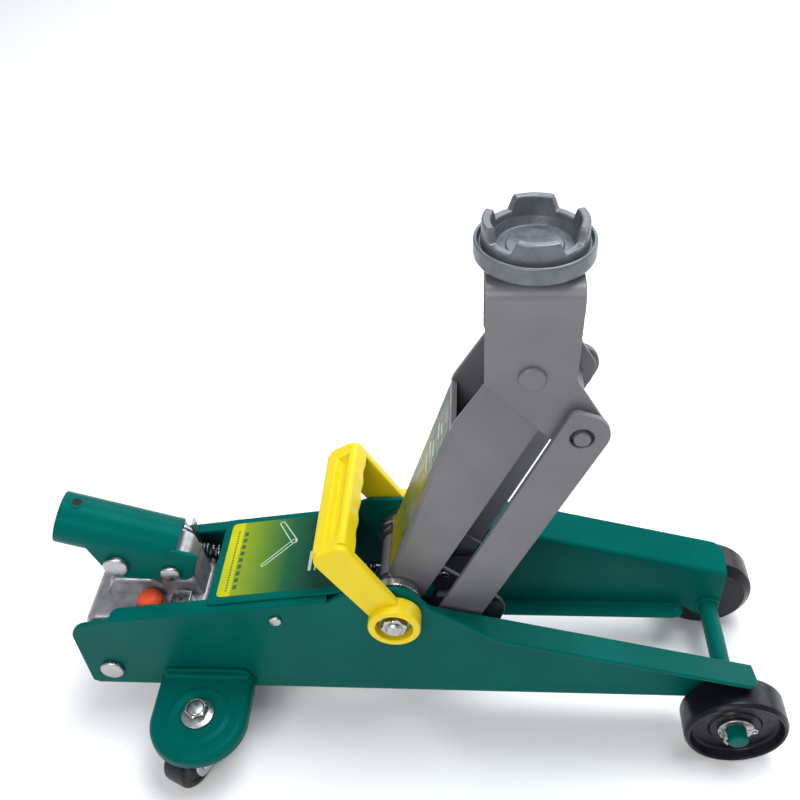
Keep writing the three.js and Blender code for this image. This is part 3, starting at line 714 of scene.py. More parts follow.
def cover_sheet(corners, lift, thickness=0.12):
    """A thin film lying on the sloping cover."""
    low = COVER_TOP + lift
    return sheared(plate(rounded(corners, 15), low, low + thickness, 0.03, lay=flat, segments=1), REAR_SLOPE)


LABEL_REAR = COVER_REAR + 5
LABEL_FRONT = COVER_FRONT - 5
LABEL_HALF = COVER_HALF - 4.5
INK_LIFT = 0.15                       # the print lies this far above the cover
INK_DEPTH = 0.05


def film_rectangle(x0, x1, y0, y1, radius):
    return [(x0, y0, radius), (x1, y0, radius), (x1, y1, radius), (x0, y1, radius)]


def cover_label():
    start = LABEL_REAR + ORIGIN_X
    film = label_film("cover_film", "X", (
        (start + 8, (0.45, 0.43, 0.006)), (start + 9, (0.20, 0.27, 0.015)), (start + 26, (0.09, 0.17, 0.02)),
        (start + 42, (0.012, 0.075, 0.035)), (start + 62, (0.004, 0.04, 0.032))))
    base = cover_sheet(film_rectangle(LABEL_REAR, LABEL_FRONT, -LABEL_HALF, LABEL_HALF, 3), 0.02)
    piece("cover_label", base, film, "chassis")
    rows = []
    for column, (x, width, length, pitch) in enumerate(((LABEL_REAR + 5, 1.1, 1.2, 2.0),
                                                        (LABEL_REAR + 9.5, 2.6, 3.2, 5.4))):
        reach = LABEL_HALF - 4 - column
        count = int(2 * reach / pitch)
        for k in range(count):
            y = -reach + k * pitch
            rows.append(cover_sheet(film_rectangle(x, x + width, y, y + length, 0.2), INK_LIFT, INK_DEPTH))
    piece("cover_label_bars", combined(*rows), label_ink, "chassis")
    strokes = [
        cover_sheet(film_rectangle(LABEL_REAR + 56, LABEL_REAR + 58, -16, 0, 0.8), INK_LIFT, INK_DEPTH),
        cover_sheet(film_rectangle(LABEL_REAR + 60, LABEL_REAR + 61, -16, -3, 0.4), INK_LIFT, INK_DEPTH),
    ]
    elbow = (LABEL_REAR + 44, 10)
    for end, wide in (((LABEL_REAR + 34, 26), 2.2), ((LABEL_REAR + 26, -8), 1.6)):
        loop = bar(elbow, end, wide, wide * 0.8, 10)
        inner = moved_left(loop, 0.7)[::-1]
        low = COVER_TOP + INK_LIFT
        outline = plate(loop, low, low + INK_DEPTH, 0.02, [inner], flat, 1)
        strokes.append(sheared(outline, REAR_SLOPE))
    piece("cover_label_drawing", combined(*strokes), label_pale, "chassis")


cover_label()
pair("cover_screw", about_y(turned([
    (0, 24.5), (2.5, 24.5), (2.5, PLATE_OUTER + 0.3), (4, PLATE_OUTER + 0.3, 0.2),
    (3.7, PLATE_OUTER + 1.8, 0.8), (0, PLATE_OUTER + 2.2),
], 32), COVER_SCREW), zinc_steel, "chassis")


# ---- pins and shafts across the frame ----
def headed_pin(head, inner, outer, shank, dome=0.4):
    """Half of a pin with a round head, from the middle of the jack to one side."""
    return turned([
        (0, 0), (shank, 0), (shank, inner), (head, inner, 0.3), (head, outer - 0.6, 1.3),
        (head * 0.6, outer - dome * 0.2), (0, outer),
    ], 48)


def across(shape, centre):
    """A half pin and its mirror image."""
    half = about_y(shape, centre)
    return combined(half, mirrored(half))


piece("rear_pin_skin", across(headed_pin(7.8, 38.3, 41.5, 6), REAR_PIN), zinc_steel,
      "chassis", ["rear_pin"])


def threaded_end(root, crest, start, end):
    """Profile corners of a thread, from its start to the chamfered end."""
    pitch = 1.25
    corners = []
    count = int((end - 1 - start) / pitch)
    for k in range(count):
        low = start + k * pitch
        corners += [(crest, low), (crest, low + pitch * 0.35), (root, low + pitch * 0.6)]
    return corners + [(crest, end - 1.0), (root - 0.6, end), (0, end)]


piece("main_shaft_skin", across(turned([
    (0, 0), (8, 0), (8, 42.6, 0.5), (5, 42.6), *threaded_end(4.5, 5, 43, 52),
], 48), PIVOT), zinc_steel, "chassis", ["main_shaft"])
pair("shaft_washer", about_y(turned([
    (5.2, 42.9), (10.8, 42.9, 0.3), (10.8, 44.4, 0.5), (5.2, 44.4),
], 48), PIVOT), zinc_steel, "chassis")
NUT_TURN = Matrix.Rotation(math.radians(18), 4, "Z")
pair("shaft_nut", about_y(placed(nut(14, 5.1, 5.7, 0.8), NUT_TURN, (0, 0, 44.5)), PIVOT),
     zinc_steel, "chassis")
pair("shaft_spacer", about_y(turned([
    (8.3, 23), (14.5, 23, 0.8), (14.5, 28.5, 0.8), (13, 29.5, 0.5), (13, PLATE_INNER - 0.3, 0.8),
    (8.3, PLATE_INNER - 0.3),
], 56), PIVOT), brushed_steel, "chassis")

piece("front_axle_skin", across(turned([
    (0, 0), (6, 0), (6, 70, 1.2), (0, 70),
], 48), FRONT_AXLE), green_paint, "chassis", ["front_axle"])
pair("axle_washer", about_y(turned([
    (6.4, 60.3), (11, 60.3, 0.3), (11, 61.9, 0.5), (6.4, 61.9),
], 48), FRONT_AXLE), zinc_steel, "chassis")


def cotter():
    """A split pin: its eye above the axle and its two legs bent round below."""
    x, z, y = FRONT_AXLE.x, FRONT_AXLE.z, 64.6
    path = []
    for k in range(13):
        turn = math.radians(-60 + 300 * k / 12)
        path.append(Vector((x + 2.3 * math.sin(turn), y, z + 10.4 - 2.0 * math.cos(turn))))
    eye = tube([Vector((x + 0.8, y, z + 6.6))] + path[1:-1] + [Vector((x - 0.8, y, z + 6.6))], 0.75, 8)
    legs = []
    for lean in (-1, 1):
        leg = [Vector((x + lean * 0.5, y, z - 5.6)), Vector((x + lean * 0.8, y, z - 7.6)),
               Vector((x + lean * 3.2, y + 0.2, z - 9.0)), Vector((x + lean * 7.0, y + 0.2, z - 8.4))]
        legs.append(tube(leg, 0.75, 8))
    upright_pin = combined(eye, *legs)
    centre = Vector((x, 0, z))
    lie = Matrix.Translation(centre) @ Matrix.Rotation(math.radians(62), 4, "Y") @ Matrix.Translation(-centre)
    return placed(upright_pin, lie)


pair("axle_cotter", cotter(), zinc_steel, "chassis")


# ---- front wheels ----
WHEEL_INNER = span("front_wheel_left")[0].y
WHEEL_OUTER = span("front_wheel_left")[1].y
WHEEL_RADIUS = span("front_wheel_left")[1].z / 2


def front_wheel():
    inner, outer, radius = WHEEL_INNER, WHEEL_OUTER, WHEEL_RADIUS
    face = outer - 5
    return about_y(turned([
        (6.5, inner), (26, inner, 1), (radius, inner + 4.4, 3), (radius, outer - 2.6, 2.2),
        (29.9, outer, 0.9), (28.3, outer - 0.6, 0.6), (26.4, face - 1.2, 2), (16.6, face - 1.4, 0.6),
        (15.4, face, 0.6), (6.5, face),
    ], 96), FRONT_AXLE)


pair("front_wheel", front_wheel(), black_nylon, "front_wheel", follows_side=True)


# ---- rear casters ----
SHELF = 45.0                          # top face of a caster bracket
CASTER_RIM = 31.0
FORK_TOP = SHELF - SHEET - 0.6
TRAIL = 14.0
CASTER_WHEEL = 18.5
SWIVEL = math.radians(25)


def pan_loop(grow):
    edge = PLATE_OUTER + 0.35
    reach = CASTER_RIM + grow
    return rounded([
        (CASTER.x - reach, edge), (CASTER.x + reach, edge),
        (CASTER.x + reach, CASTER.y + reach, reach - 0.5), (CASTER.x - reach, CASTER.y + reach, reach - 0.5),
    ], 6)


def caster_bracket():
    """A pressed pan: flat top, round shoulder and a turned-down rim."""
    shoulder = 5.0
    levels = [(-2.3, SHELF - 9), (0, SHELF - 9)]
    for turn in quarter_turn(6):
        levels.append((-shoulder + shoulder * math.cos(turn), SHELF - shoulder + shoulder * math.sin(turn)))
    levels.append((-9, SHELF))
    top_rings = [[flat(p, z) for p in pan_loop(grow)] for grow, z in levels]
    under = [(-9, SHELF - SHEET), (-5.4, SHELF - SHEET), (-3.2, SHELF - 4.6), (-2.3, SHELF - 6)]
    rings = top_rings + [[flat(p, z) for p in pan_loop(grow)] for grow, z in under]
    pan = loft(rings, closed=True)
    stem_hole = circle(CASTER.x, CASTER.y, 5.4, 32, True)
    lid = plate(pan_loop(-8.9), SHELF - SHEET, SHELF, 0.02, [stem_hole], flat, 1)
    dish = about_z(turned([
        (13, SHELF - 0.6), (21, SHELF - 0.6), (20.6, SHELF + 0.1, 0.3), (17.5, SHELF + 1.1, 2),
        (14, SHELF + 0.3, 1), (13, SHELF + 0.05),
    ], 64), CASTER.x, CASTER.y)
    half = CASTER_RIM - 2.5
    edge = PLATE_OUTER + 0.3
    wall = plate(rounded([
        (CASTER.x - half, SHELF - 5), (CASTER.x + half, SHELF - 5), (CASTER.x + half, SHELF + 6, 5),
        (CASTER.x - half, SHELF + 6, 5),
    ], 12), edge, edge + 2.6, 0.8)
    cove = []
    for turn in quarter_turn(6):
        cove.append((edge + 2.5 + 3 - 3 * math.sin(turn), SHELF + 3 - 3 * math.cos(turn)))
    fillet_loop = [Vector(p) for p in [(edge + 2, SHELF - 1), (edge + 5.5, SHELF - 1), *cove]]
    fillet = loft([[facing(p, x) for p in fillet_loop] for x in (CASTER.x - half + 1, CASTER.x + half - 1)])
    return combined(pan, lid, dish, wall, fillet)


pair("caster_bracket", caster_bracket(), green_paint, "chassis")
pair("caster_stem", about_z(turned([
    (0, FORK_TOP - 5), (6.5, FORK_TOP - 5, 0.8), (6.5, FORK_TOP - 2.7), (5, FORK_TOP - 2.7), (5, SHELF + 5),
    (4.5, SHELF + 5.6), (5, SHELF + 6.2), (5, SHELF + 8, 0.8), (0, SHELF + 9),
], 40), CASTER.x, CASTER.y), zinc_steel, "chassis")


def caster_nut():
    seat = SHELF + 0.3
    flange = turned([
        (5.3, seat), (10.4, seat, 0.3), (10.2, seat + 1.2, 0.4), (7.6, seat + 2.4), (5.3, seat + 2.4),
    ], 56)
    head = placed(nut(13, 5.3, 6), Matrix.Rotation(math.radians(10), 4, "Z"), (0, 0, seat + 2))
    return about_z(combined(flange, head), CASTER.x, CASTER.y)


pair("caster_nut", caster_nut(), zinc_steel, "chassis")


def swivelled(shape):
    """From the caster's own frame, where the wheel trails along y, to its place under the jack."""
    return placed(shape, Matrix.Rotation(SWIVEL, 4, "Z"), (CASTER.x, CASTER.y, 0))


def caster_fork():
    outer, inner = 12.3, 10.0
    top = plate(rounded([(-outer, -13, 3), (outer, -13, 3), (outer, 13, 3), (-outer, 13, 3)], 15),
                FORK_TOP - 2.3, FORK_TOP, 0.6, [circle(0, 0, 5.4, 24, True)], flat)
    leg_loop = rounded([
        (-13, FORK_TOP - 1, 1.5), (TRAIL - 8, CASTER_WHEEL - 8, 8), (TRAIL + 6, CASTER_WHEEL - 9.5, 8),
        (TRAIL + 9.5, CASTER_WHEEL + 4, 9), (13, FORK_TOP - 1, 1.5),
    ], 10)
    leg = plate(leg_loop, inner, outer, 0.6, [circle(TRAIL, CASTER_WHEEL, 3.4, 24, True)], facing)
    other = ([Vector((-p.x, p.y, p.z)) for p in leg[0]], [tuple(reversed(f)) for f in leg[1]])
    return combined(top, leg, other)


def caster_axle():
    end = 14.1
    return about_x(turned([
        (0, -end), (3.4, -end + 0.3, 1), (4.6, -end + 1.5, 0.3), (3, -end + 1.5), (3, end - 1.5),
        (4.6, end - 1.5, 0.3), (3.4, end - 0.3, 1), (0, end),
    ], 36), TRAIL, CASTER_WHEEL)


def caster_wheel():
    half = 8.5
    profile = [(3.5, -half - 0.8), (7, -half - 0.8, 0.4), (8, -half + 1, 0.4), (12.6, -half + 1, 0.4),
               (14, -half, 0.4), (CASTER_WHEEL, -half, 2.6)]
    corners = profile + [(r, -h, *more) for r, h, *more in reversed(profile)]
    return about_x(turned(corners, 72), TRAIL, CASTER_WHEEL)


pair("caster_fork", swivelled(caster_fork()), zinc_steel, "caster_fork", follows_side=True)
pair("caster_axle", swivelled(caster_axle()), zinc_steel, "caster_fork", follows_side=True)
pair("caster_wheel", swivelled(caster_wheel()), black_nylon, "caster_wheel",
     follows_side=True)


# ---- lift arm ----
ARM_OUTER = 22.5
ARM_VECTOR = ARM_PIN - PIVOT
ARM_LENGTH = ARM_VECTOR.length
ALONG = ARM_VECTOR.normalized()
TAPER = 16 / (ARM_LENGTH - 20)
ROOF_TOP = ARM_LENGTH - 50            # the folded back of the arm ends here


def beside(up, front):
    """A side-view point up the arm from the pivot, and towards its front edge."""
    return (PIVOT.x + ALONG.x * up + ALONG.z * front, PIVOT.z + ALONG.z * up - ALONG.x * front)


def back_edge(up, depth=0.0):
    return beside(up, -9 - (up - 2) * TAPER + depth)


def lift_arm():
    fold = 4.0
    wall_outer = ARM_OUTER - PROUD
    loop = rounded([
        (*back_edge(2), 6), back_edge(12), back_edge(12, fold), back_edge(ROOF_TOP - 2, fold),
        back_edge(ROOF_TOP - 2), (*back_edge(ROOF_TOP + 2), 20), (*beside(ARM_LENGTH + 14, -14), 10),
        (*beside(ARM_LENGTH + 15, 10), 10), (*beside(ARM_LENGTH - 18, 20), 14), (*beside(10, 16.5), 14),
        (*beside(-14, 15), 12), (-4, 98, 10), (-13, 106, 8),
    ], 8)
    tube_hole = circle(PIVOT.x, PIVOT.z, 11.4, 48, True)
    wall = plate(anticlockwise(loop), wall_outer - SHEET, wall_outer, 0.7, [tube_hole])
    section = rounded([
        (ARM_OUTER, -14), (ARM_OUTER, 0, 4.2), (-ARM_OUTER, 0, 4.2), (-ARM_OUTER, -14),
        (-ARM_OUTER + SHEET, -14), (-ARM_OUTER + SHEET, -SHEET, 1.4), (ARM_OUTER - SHEET, -SHEET, 1.4),
        (ARM_OUTER - SHEET, -14),
    ], 15)
    rings = []
    for up in (12, ROOF_TOP):
        ring = []
        for p in section:
            x, z = back_edge(up, -p.y)
            ring.append(Vector((x, p.x, z)))
        rings.append(ring)
    web_loop = rounded([beside(30, 8), beside(30, 5), beside(ARM_LENGTH - 34, 5), beside(ARM_LENGTH - 34, 8)])
    web = plate(anticlockwise(web_loop), -ARM_OUTER + SHEET - 0.1, ARM_OUTER - SHEET + 0.1, 0.3)
    return combined(wall, mirrored(wall), loft(rings), web)


def crank_plate():
    """The plate inside an arm wall that carries the crank pin."""
    loop = rounded([
        beside(34, 0), (*beside(30, 15), 6), (68, 98, 14), (61, 72, 14), (CRANK.x - 6, CRANK.z - 14, 12),
        (CRANK.x - 16, CRANK.z + 4, 8), (-2, 101, 6), (-8, 112),
    ], 8)
    outer = ARM_OUTER - SHEET - 2 * PROUD
    holes = [circle(PIVOT.x, PIVOT.z, 11.4, 48, True), circle(CRANK.x, CRANK.z, 6.3, 32, True)]
    return plate(anticlockwise(loop), outer - 3, outer, 0.7, holes)


piece("lift_arm_skin", lift_arm(), grey_paint, "lift_arm", ["lift_arm"])
# The crank plates carry painted shade: their near-black colour stands in for the shadow in the gap behind the
# links.
piece("crank_plates", combined(crank_plate(), mirrored(crank_plate())), crank_painted_shade, "lift_arm")
piece("arm_pivot_tube_skin", across(turned([
    (8.3, 0), (11.2, 0), (11.2, ARM_OUTER + 0.2, 0.6), (8.3, ARM_OUTER + 0.2),
], 48), PIVOT), grey_paint, "lift_arm", ["arm_pivot_tube"])
piece("crank_pin_skin", across(headed_pin(6, ARM_OUTER - SHEET, ARM_OUTER - 1, 6), CRANK), dark_steel,
      "lift_arm", ["crank_pin"])
piece("spring_pin_skin", about_y(turned([
    (0, 10.5), (2.5, 10.5, 0.5), (2.5, ARM_OUTER + 1, 0.7), (0, ARM_OUTER + 1),
], 24), SPRING_PIN), dark_steel, "lift_arm", ["spring_pin"])


def arm_sheet(low, high, left, right, lift, thickness=0.12, radius=2.0):
    """A thin film on the arm's sloping back, from low to high up the arm and left to right in y."""
    loop = rounded(film_rectangle(low, high, left, right, radius), 15)
    points, faces = plate(loop, lift, lift + thickness, 0.03, lay=flat, segments=1)
    laid = []
    for p in points:
        x, z = back_edge(p.x, -p.z)
        laid.append(Vector((x, p.y, z)))
    return laid, faces


def arm_label():
    foot, top = PIVOT.z + 22, PIVOT.z + 150
    film = label_film("arm_film", "Z", (
        (foot, (0.36, 0.30, 0.008)), (foot + 24, (0.15, 0.16, 0.02)), (foot + 40, (0.17, 0.18, 0.07)),
        (foot + 62, (0.22, 0.20, 0.01)), (foot + 80, (0.045, 0.06, 0.025)), (top, (0.05, 0.065, 0.045))))
    piece("arm_label", arm_sheet(14, ROOF_TOP - 4, -18.5, 18.5, 0.03), film, "lift_arm")
    marks = []
    for up, left, right in ((88, -9, 6), (95, -4, 9), (102, -10, 2), (112, -6, 7), (118, -9, 0)):
        marks.append(arm_sheet(up, up + 2.6, left, right, 0.16, 0.05, 0.8))
    piece("arm_label_bars", combined(*marks), label_pale, "lift_arm")


arm_label()


# ---- saddle bracket ----
BRACKET_TOP = span("saddle_bracket")[1].z
CHEEK_OUTER = span("saddle_bracket")[1].y
BRACKET_REAR = span("saddle_bracket")[0].x
BRACKET_FRONT = ARM_PIN.x + 23


def saddle_bracket():
    cheek_face = CHEEK_OUTER - PROUD
    loop = rounded([
        (BRACKET_REAR, BRACKET_TOP - 8), (BRACKET_REAR, ARM_PIN.z - 5, 4),
        (LINK_HEAD.x - 16, LINK_HEAD.z - 5, 3), (LINK_HEAD.x - 7, LINK_HEAD.z - 12, 8),
        (LINK_HEAD.x + 8, LINK_HEAD.z - 12, 9),
        (LINK_HEAD.x + 13, LINK_HEAD.z + 4, 10), (BRACKET_FRONT - 1, ARM_PIN.z - 2, 14),
        (BRACKET_FRONT, BRACKET_TOP - 8),
    ], 8)
    cheek = plate(loop, cheek_face - SHEET, cheek_face, 0.7)
    bend = 7.0
    section = rounded([
        (CHEEK_OUTER, BRACKET_TOP - 15), (CHEEK_OUTER, BRACKET_TOP, bend), (-CHEEK_OUTER, BRACKET_TOP, bend),
        (-CHEEK_OUTER, BRACKET_TOP - 15), (-CHEEK_OUTER + SHEET, BRACKET_TOP - 15),
        (-CHEEK_OUTER + SHEET, BRACKET_TOP - SHEET, bend - SHEET),
        (CHEEK_OUTER - SHEET, BRACKET_TOP - SHEET, bend - SHEET), (CHEEK_OUTER - SHEET, BRACKET_TOP - 15),
    ], 9)
    rings = []
    for x, shrink in ((BRACKET_REAR, 0.6), (BRACKET_REAR + 0.25, 0.2), (BRACKET_REAR + 0.8, 0),
                      (BRACKET_FRONT - 0.8, 0), (BRACKET_FRONT - 0.25, 0.2), (BRACKET_FRONT, 0.6)):
        loop_here = moved_left(section, shrink)
        rings.append([facing(p, x) for p in loop_here])
    channel = loft(rings)
    return combined(cheek, mirrored(cheek), channel)


piece("saddle_bracket_skin", saddle_bracket(), grey_paint, "saddle_bracket", ["saddle_bracket"])
piece("arm_pin_skin", across(headed_pin(7, CHEEK_OUTER, CHEEK_OUTER + 2.6, 7, 0.8), ARM_PIN), grey_paint,
      "saddle_bracket", ["arm_pin"])
piece("link_pin_skin", across(turned([
    (0, 0), (4.5, 0), (4.5, 32.8, 1), (0, 32.8),
], 40), LINK_HEAD), grey_paint, "saddle_bracket", ["link_pin"])


# ---- saddle ----
SADDLE_TOP = span("saddle")[1].z
SADDLE_RADIUS = (span("saddle")[1].x - span("saddle")[0].x) / 2


def saddle():
    seat = BRACKET_TOP + 0.3
    top = BRACKET_TOP
    base = turned([
        (0, 312), (8, 312, 1), (8, seat), (24, seat, 0.6), (25.5, top + 1.4, 1),
        (SADDLE_RADIUS, top + 3.4, 2.5), (SADDLE_RADIUS, top + 12.4, 1.2), (27.2, top + 12.4, 0.5),
        (26.8, top + 9.4, 0.8), (25.4, top + 9.4, 0.4), (25.4, top + 12), (20.0, top + 12),
        (18.4, top + 7.5, 1.2), (14, top + 7.5, 0.4), (13.4, top + 8.3, 0.4), (0, top + 8.3),
    ], 96)
    rings = []
    for angle in full_turn(240):
        off = abs((angle + math.pi / 4) % (math.pi / 2) - math.pi / 4)
        rise = smooth_step((math.radians(31) - off) / math.radians(9))
        height = top + 15.2 + (SADDLE_TOP - top - 15.2) * rise
        corners = [(20.2, top + 11), (25.4, top + 11), (25.1, height, 1.1), (20.9, height, 1.1)]
        rings.append(around(rounded(corners, chords=4), angle))
    return base, loft(rings, closed=True)


saddle_base, saddle_lugs = saddle()
piece("saddle_skin", about_z(saddle_base, ARM_PIN.x, 0), saddle_paint, "saddle", ["saddle"])
piece("saddle_lugs", about_z(saddle_lugs, ARM_PIN.x, 0), saddle_paint, "saddle")
piece("saddle_retainer_skin", about_z(turned([
    (8.3, 320), (13, 320, 0.6), (13, BRACKET_TOP - 3.3, 0.6), (8.3, BRACKET_TOP - 3.3),
], 48), ARM_PIN.x, 0), zinc_steel, "saddle", ["saddle_retainer"])


# ---- links ----
def link():
    foot = Vector((LINK_FOOT.x, LINK_FOOT.z))
    head = Vector((LINK_HEAD.x, LINK_HEAD.z))
    along = (head - foot).normalized()
    across_link = Vector((along.y, -along.x))
    corners = ((-12.5, -12.5, 11.5, foot), (-12.5, 12.5, 11.5, foot),
               (14.5, 12.5, 5, head), (15.5, -13.5, 13, head))
    loop = rounded([(*(centre + along * ahead + across_link * -out), radius)
                    for ahead, out, radius, centre in corners], 7)
    low, high = span("link_left")
    holes = [circle(LINK_FOOT.x, LINK_FOOT.z, 7.3, 36, True), circle(LINK_HEAD.x, LINK_HEAD.z, 6.2, 36, True)]
    return plate(anticlockwise(loop), low.y, high.y, 0.8, holes)


pair("link", link(), grey_paint, "links")
pair("link_stud", about_y(turned([
    (0, ARM_OUTER + 1.6), (10, ARM_OUTER + 1.6, 0.8), (10, 27.2, 0.4), (7, 27.2), (7, PLATE_INNER - 0.3),
    (0, PLATE_INNER - 0.3),
], 48), LINK_FOOT), zinc_steel, "chassis")


# ---- power unit ----
BLOCK_FRONT = -122.0
BLOCK_TOP = 92.0
BLOCK_HALF = 31.0
LUG_HALF = 11.6
RAM_HEIGHT = middle("ram").z


def pump_block():
    base = plate(rounded([
        (-203, 36, 5), (BLOCK_FRONT, 36, 4.6), (BLOCK_FRONT, BLOCK_TOP, 4.6), (-200, BLOCK_TOP, 9),
    ], 8), -BLOCK_HALF, BLOCK_HALF, 4.5, segments=5)
    bore = about_x(turned([(0, -180), (10.4, -180), (10.4, -100), (0, -100)], 48), 0, RAM_HEIGHT)
    base = cut_away(base, bore)
    pump_boss = plate(rounded([
        (-191, BLOCK_TOP - 4), (-149, BLOCK_TOP - 4), (-152, 99, 4), (-158, 106, 4), (-184, 106, 5),
    ], 10), -LUG_HALF, LUG_HALF, 2.4)
    pivot_lug = plate(rounded([
        (-153, BLOCK_TOP - 4), (-125, BLOCK_TOP - 4), (-129, 116, 6), (-132, 128, 7), (-148, 128, 7),
        (-150, 116, 6),
    ], 10), -LUG_HALF, LUG_HALF, 1.8)
    stop_lug = plate(rounded([
        (-147.2, BLOCK_TOP - 4), (-138, BLOCK_TOP - 4), (-138, 104, 4), (-142, 123, 1.6), (-147.2, 123, 1.2),
    ], 10), 17, 27, 0.7)
    valve_boss = about_z(turned([(4.3, BLOCK_TOP - 2), (9.4, BLOCK_TOP - 2), (8.4, BLOCK_TOP + 3, 1),
                                 (4.3, BLOCK_TOP + 3)], 40), VALVE.x, VALVE.y)
    filler_boss = about_z(turned([(5.3, BLOCK_TOP - 2), (10, BLOCK_TOP - 2), (9, BLOCK_TOP + 2, 0.8),
                                  (5.3, BLOCK_TOP + 2)], 40), FILLER.x, FILLER.y)
    shoulder = plate(rounded([
        (-196, BLOCK_TOP - 3), (-150, BLOCK_TOP - 3), (-154, BLOCK_TOP + 4, 3), (-186, BLOCK_TOP + 4, 5),
    ], 10), LUG_HALF - 2, LUG_HALF + 9, 2)
    return combined(base, pump_boss, pivot_lug, stop_lug, valve_boss, filler_boss, shoulder)


piece("pump_block_skin", pump_block(), silver_casting, "chassis", ["pump_block"])
piece("filler_plug_skin", about_z(turned([
    (0, 86), (5, 86), (5, BLOCK_TOP + 2.3), (8.2, BLOCK_TOP + 2.3, 0.4), (8.6, BLOCK_TOP + 4.4, 0.7),
    (8.0, BLOCK_TOP + 6.6, 1.4), (5.2, BLOCK_TOP + 10.2, 3.4), (0, BLOCK_TOP + 11),
], 56), FILLER.x, FILLER.y), orange_rubber, "chassis", ["filler_plug"])


def release_valve():
    top = BLOCK_TOP + 3.3
    stem = about_z(turned([
        (0, 74), (4, 74), (4, top), (6.4, top, 0.4), (6.4, top + 5.7, 1), (0, top + 5.7),
    ], 40), VALVE.x, VALVE.y)
    slot_walls = []
    for sign in (-1, 1):
        y = VALVE.y + sign * 3.4
        slot_walls.append(block((VALVE.x - 6, y - 2, top + 4), (VALVE.x + 6, y + 2, top + 5.68), 0.4))
    return combined(stem, *slot_walls)


piece("release_valve_skin", release_valve(), zinc_steel, "release_valve", ["release_valve"])
CYLINDER_FRONT = span("cylinder_gland")[1].x
piece("ram_cylinder_skin", about_x(turned([
    (11, BLOCK_FRONT + 0.3), (20, BLOCK_FRONT + 0.3, 0.6),
    (20, CYLINDER_FRONT - 8.3, 1.2), (11, CYLINDER_FRONT - 8.3),
], 64), 0, RAM_HEIGHT), dark_steel, "chassis", ["ram_cylinder"])
piece("cylinder_gland_skin", about_x(turned([
    (10.3, CYLINDER_FRONT - 8), (18.4, CYLINDER_FRONT - 8, 0.4),
    (18.4, CYLINDER_FRONT, 1), (10.3, CYLINDER_FRONT),
], 64), 0, RAM_HEIGHT), zinc_steel, "chassis", ["cylinder_gland"])
YOKE_REAR, YOKE_FRONT = span("ram_yoke")[0].x, span("ram_yoke")[1].x
piece("ram_skin", about_x(turned([
    (0, span("ram")[0].x), (10, span("ram")[0].x, 1), (10, YOKE_REAR - 0.3), (0, YOKE_REAR - 0.3),
], 56), 0, RAM_HEIGHT), brushed_steel, "ram", ["ram"])


def ram_yoke():
    half = 17
    outer = rounded([(YOKE_REAR, RAM_HEIGHT - half, 4), (YOKE_FRONT, RAM_HEIGHT - half, 5),
                     (YOKE_FRONT, RAM_HEIGHT + half, 5), (YOKE_REAR, RAM_HEIGHT + half, 4)], 12)
    slot = rounded([(CRANK.x - 7.6, RAM_HEIGHT - 13, 5), (CRANK.x + 7.6, RAM_HEIGHT - 13, 5),
                    (CRANK.x + 7.6, RAM_HEIGHT + 13, 5), (CRANK.x - 7.6, RAM_HEIGHT + 13, 5)], 12)
    return plate(outer, -10, 10, 1, [slot[::-1]])


piece("ram_yoke_skin", ram_yoke(), dark_steel, "ram", ["ram_yoke"])

# The return spring runs from its rear hook to the spring pin on the arm; the pin's travel as the arm comes
# down is worked out below, but the spring is not made to shorten.
SPRING_REAR = Vector((-138.0, 20.5, 98.6))
SPRING_FRONT = Vector((SPRING_PIN.x - 3.2, 12.2, SPRING_PIN.z + 0.4))


def return_spring():
    wire = 1.05
    coil_end = SPRING_REAR.lerp(SPRING_FRONT, 0.75)
    coils = coil(SPRING_REAR + Vector((3, 0, 0)), coil_end, 4.6, wire, 33, 2)
    front_path = [coil_end + Vector(p) for p in ((-1, 0, 4.4), (5, 0, 3.6))]
    front_path += [SPRING_FRONT + Vector(p)
                   for p in ((-2, 0, 3.7), (1.5, 0, 3.7), (3.6, 0, 3.5), (5.6, 0, 1.6))]
    rear_path = [SPRING_REAR + Vector(p)
                 for p in ((4.5, 0, 3.2), (2, 0, 2.6), (0.6, 0, 0), (0.9, 0, -2.6))]
    return combined(coils, tube(front_path, wire, 8), tube(rear_path, wire, 8))


spring_piece = piece("return_spring_skin", return_spring(), spring_steel, "chassis",
                     ["return_spring"])
LIFT_RANGE = math.radians(73)
pin_arm = SPRING_PIN - PIVOT
pin_low = Matrix.Rotation(LIFT_RANGE, 3, "Y") @ pin_arm
pin_travel = pin_arm - pin_low
pin_travel.y = 0
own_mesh(spring_piece)

piece("pump_plunger_skin", about_z(turned([
    (0, 82.5), (4.3, 82.5, 0.6), (4.3, 112), (7.6, 112, 0.3), (7.6, 118.6, 1.2), (4, 119.4), (0, 119.4),
], 48), PUMP_PIN.x, 0), brushed_steel, "pump_plunger", ["pump_plunger"])
PUMP_SEAT = span("pump_spring")[0].z
PUMP_SPRING_TOP = span("pump_spring")[1].z
pump_spring = piece("pump_spring_skin", coil(
    Vector((PUMP_PIN.x, 0, PUMP_SEAT)), Vector((PUMP_PIN.x, 0, PUMP_SPRING_TOP)), 6.4, 0.95, 7),
    spring_steel, "chassis", ["pump_spring"])
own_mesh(pump_spring)


# ---- handle socket ----
SOCKET_ANGLE = math.radians(19.2)
SOCKET_END = Vector((-208.0, 0, 152.0))
SOCKET_LENGTH = 74.0
SOCKET_OUTER = 16.0
SOCKET_INNER = 13.0
WRAP = 25.0                           # the sheet closes to a full tube along this stretch


def socket_ring(along):
    """A section of the socket's arch, over its outer face and back along the inner face."""
    sides = 40
    ring = []
    for radius, order in ((SOCKET_OUTER, range(sides + 1)), (SOCKET_INNER, range(sides, -1, -1))):
        for k in order:
            turn = math.pi * k / sides
            ring.append(Vector((along, radius * math.cos(turn), radius * math.sin(turn))))
    return ring


def cheek_plate(corners):
    loop = anticlockwise(rounded(corners, 10))
    return plate(loop, SOCKET_INNER + PROUD, SOCKET_OUTER - PROUD, 0.7)


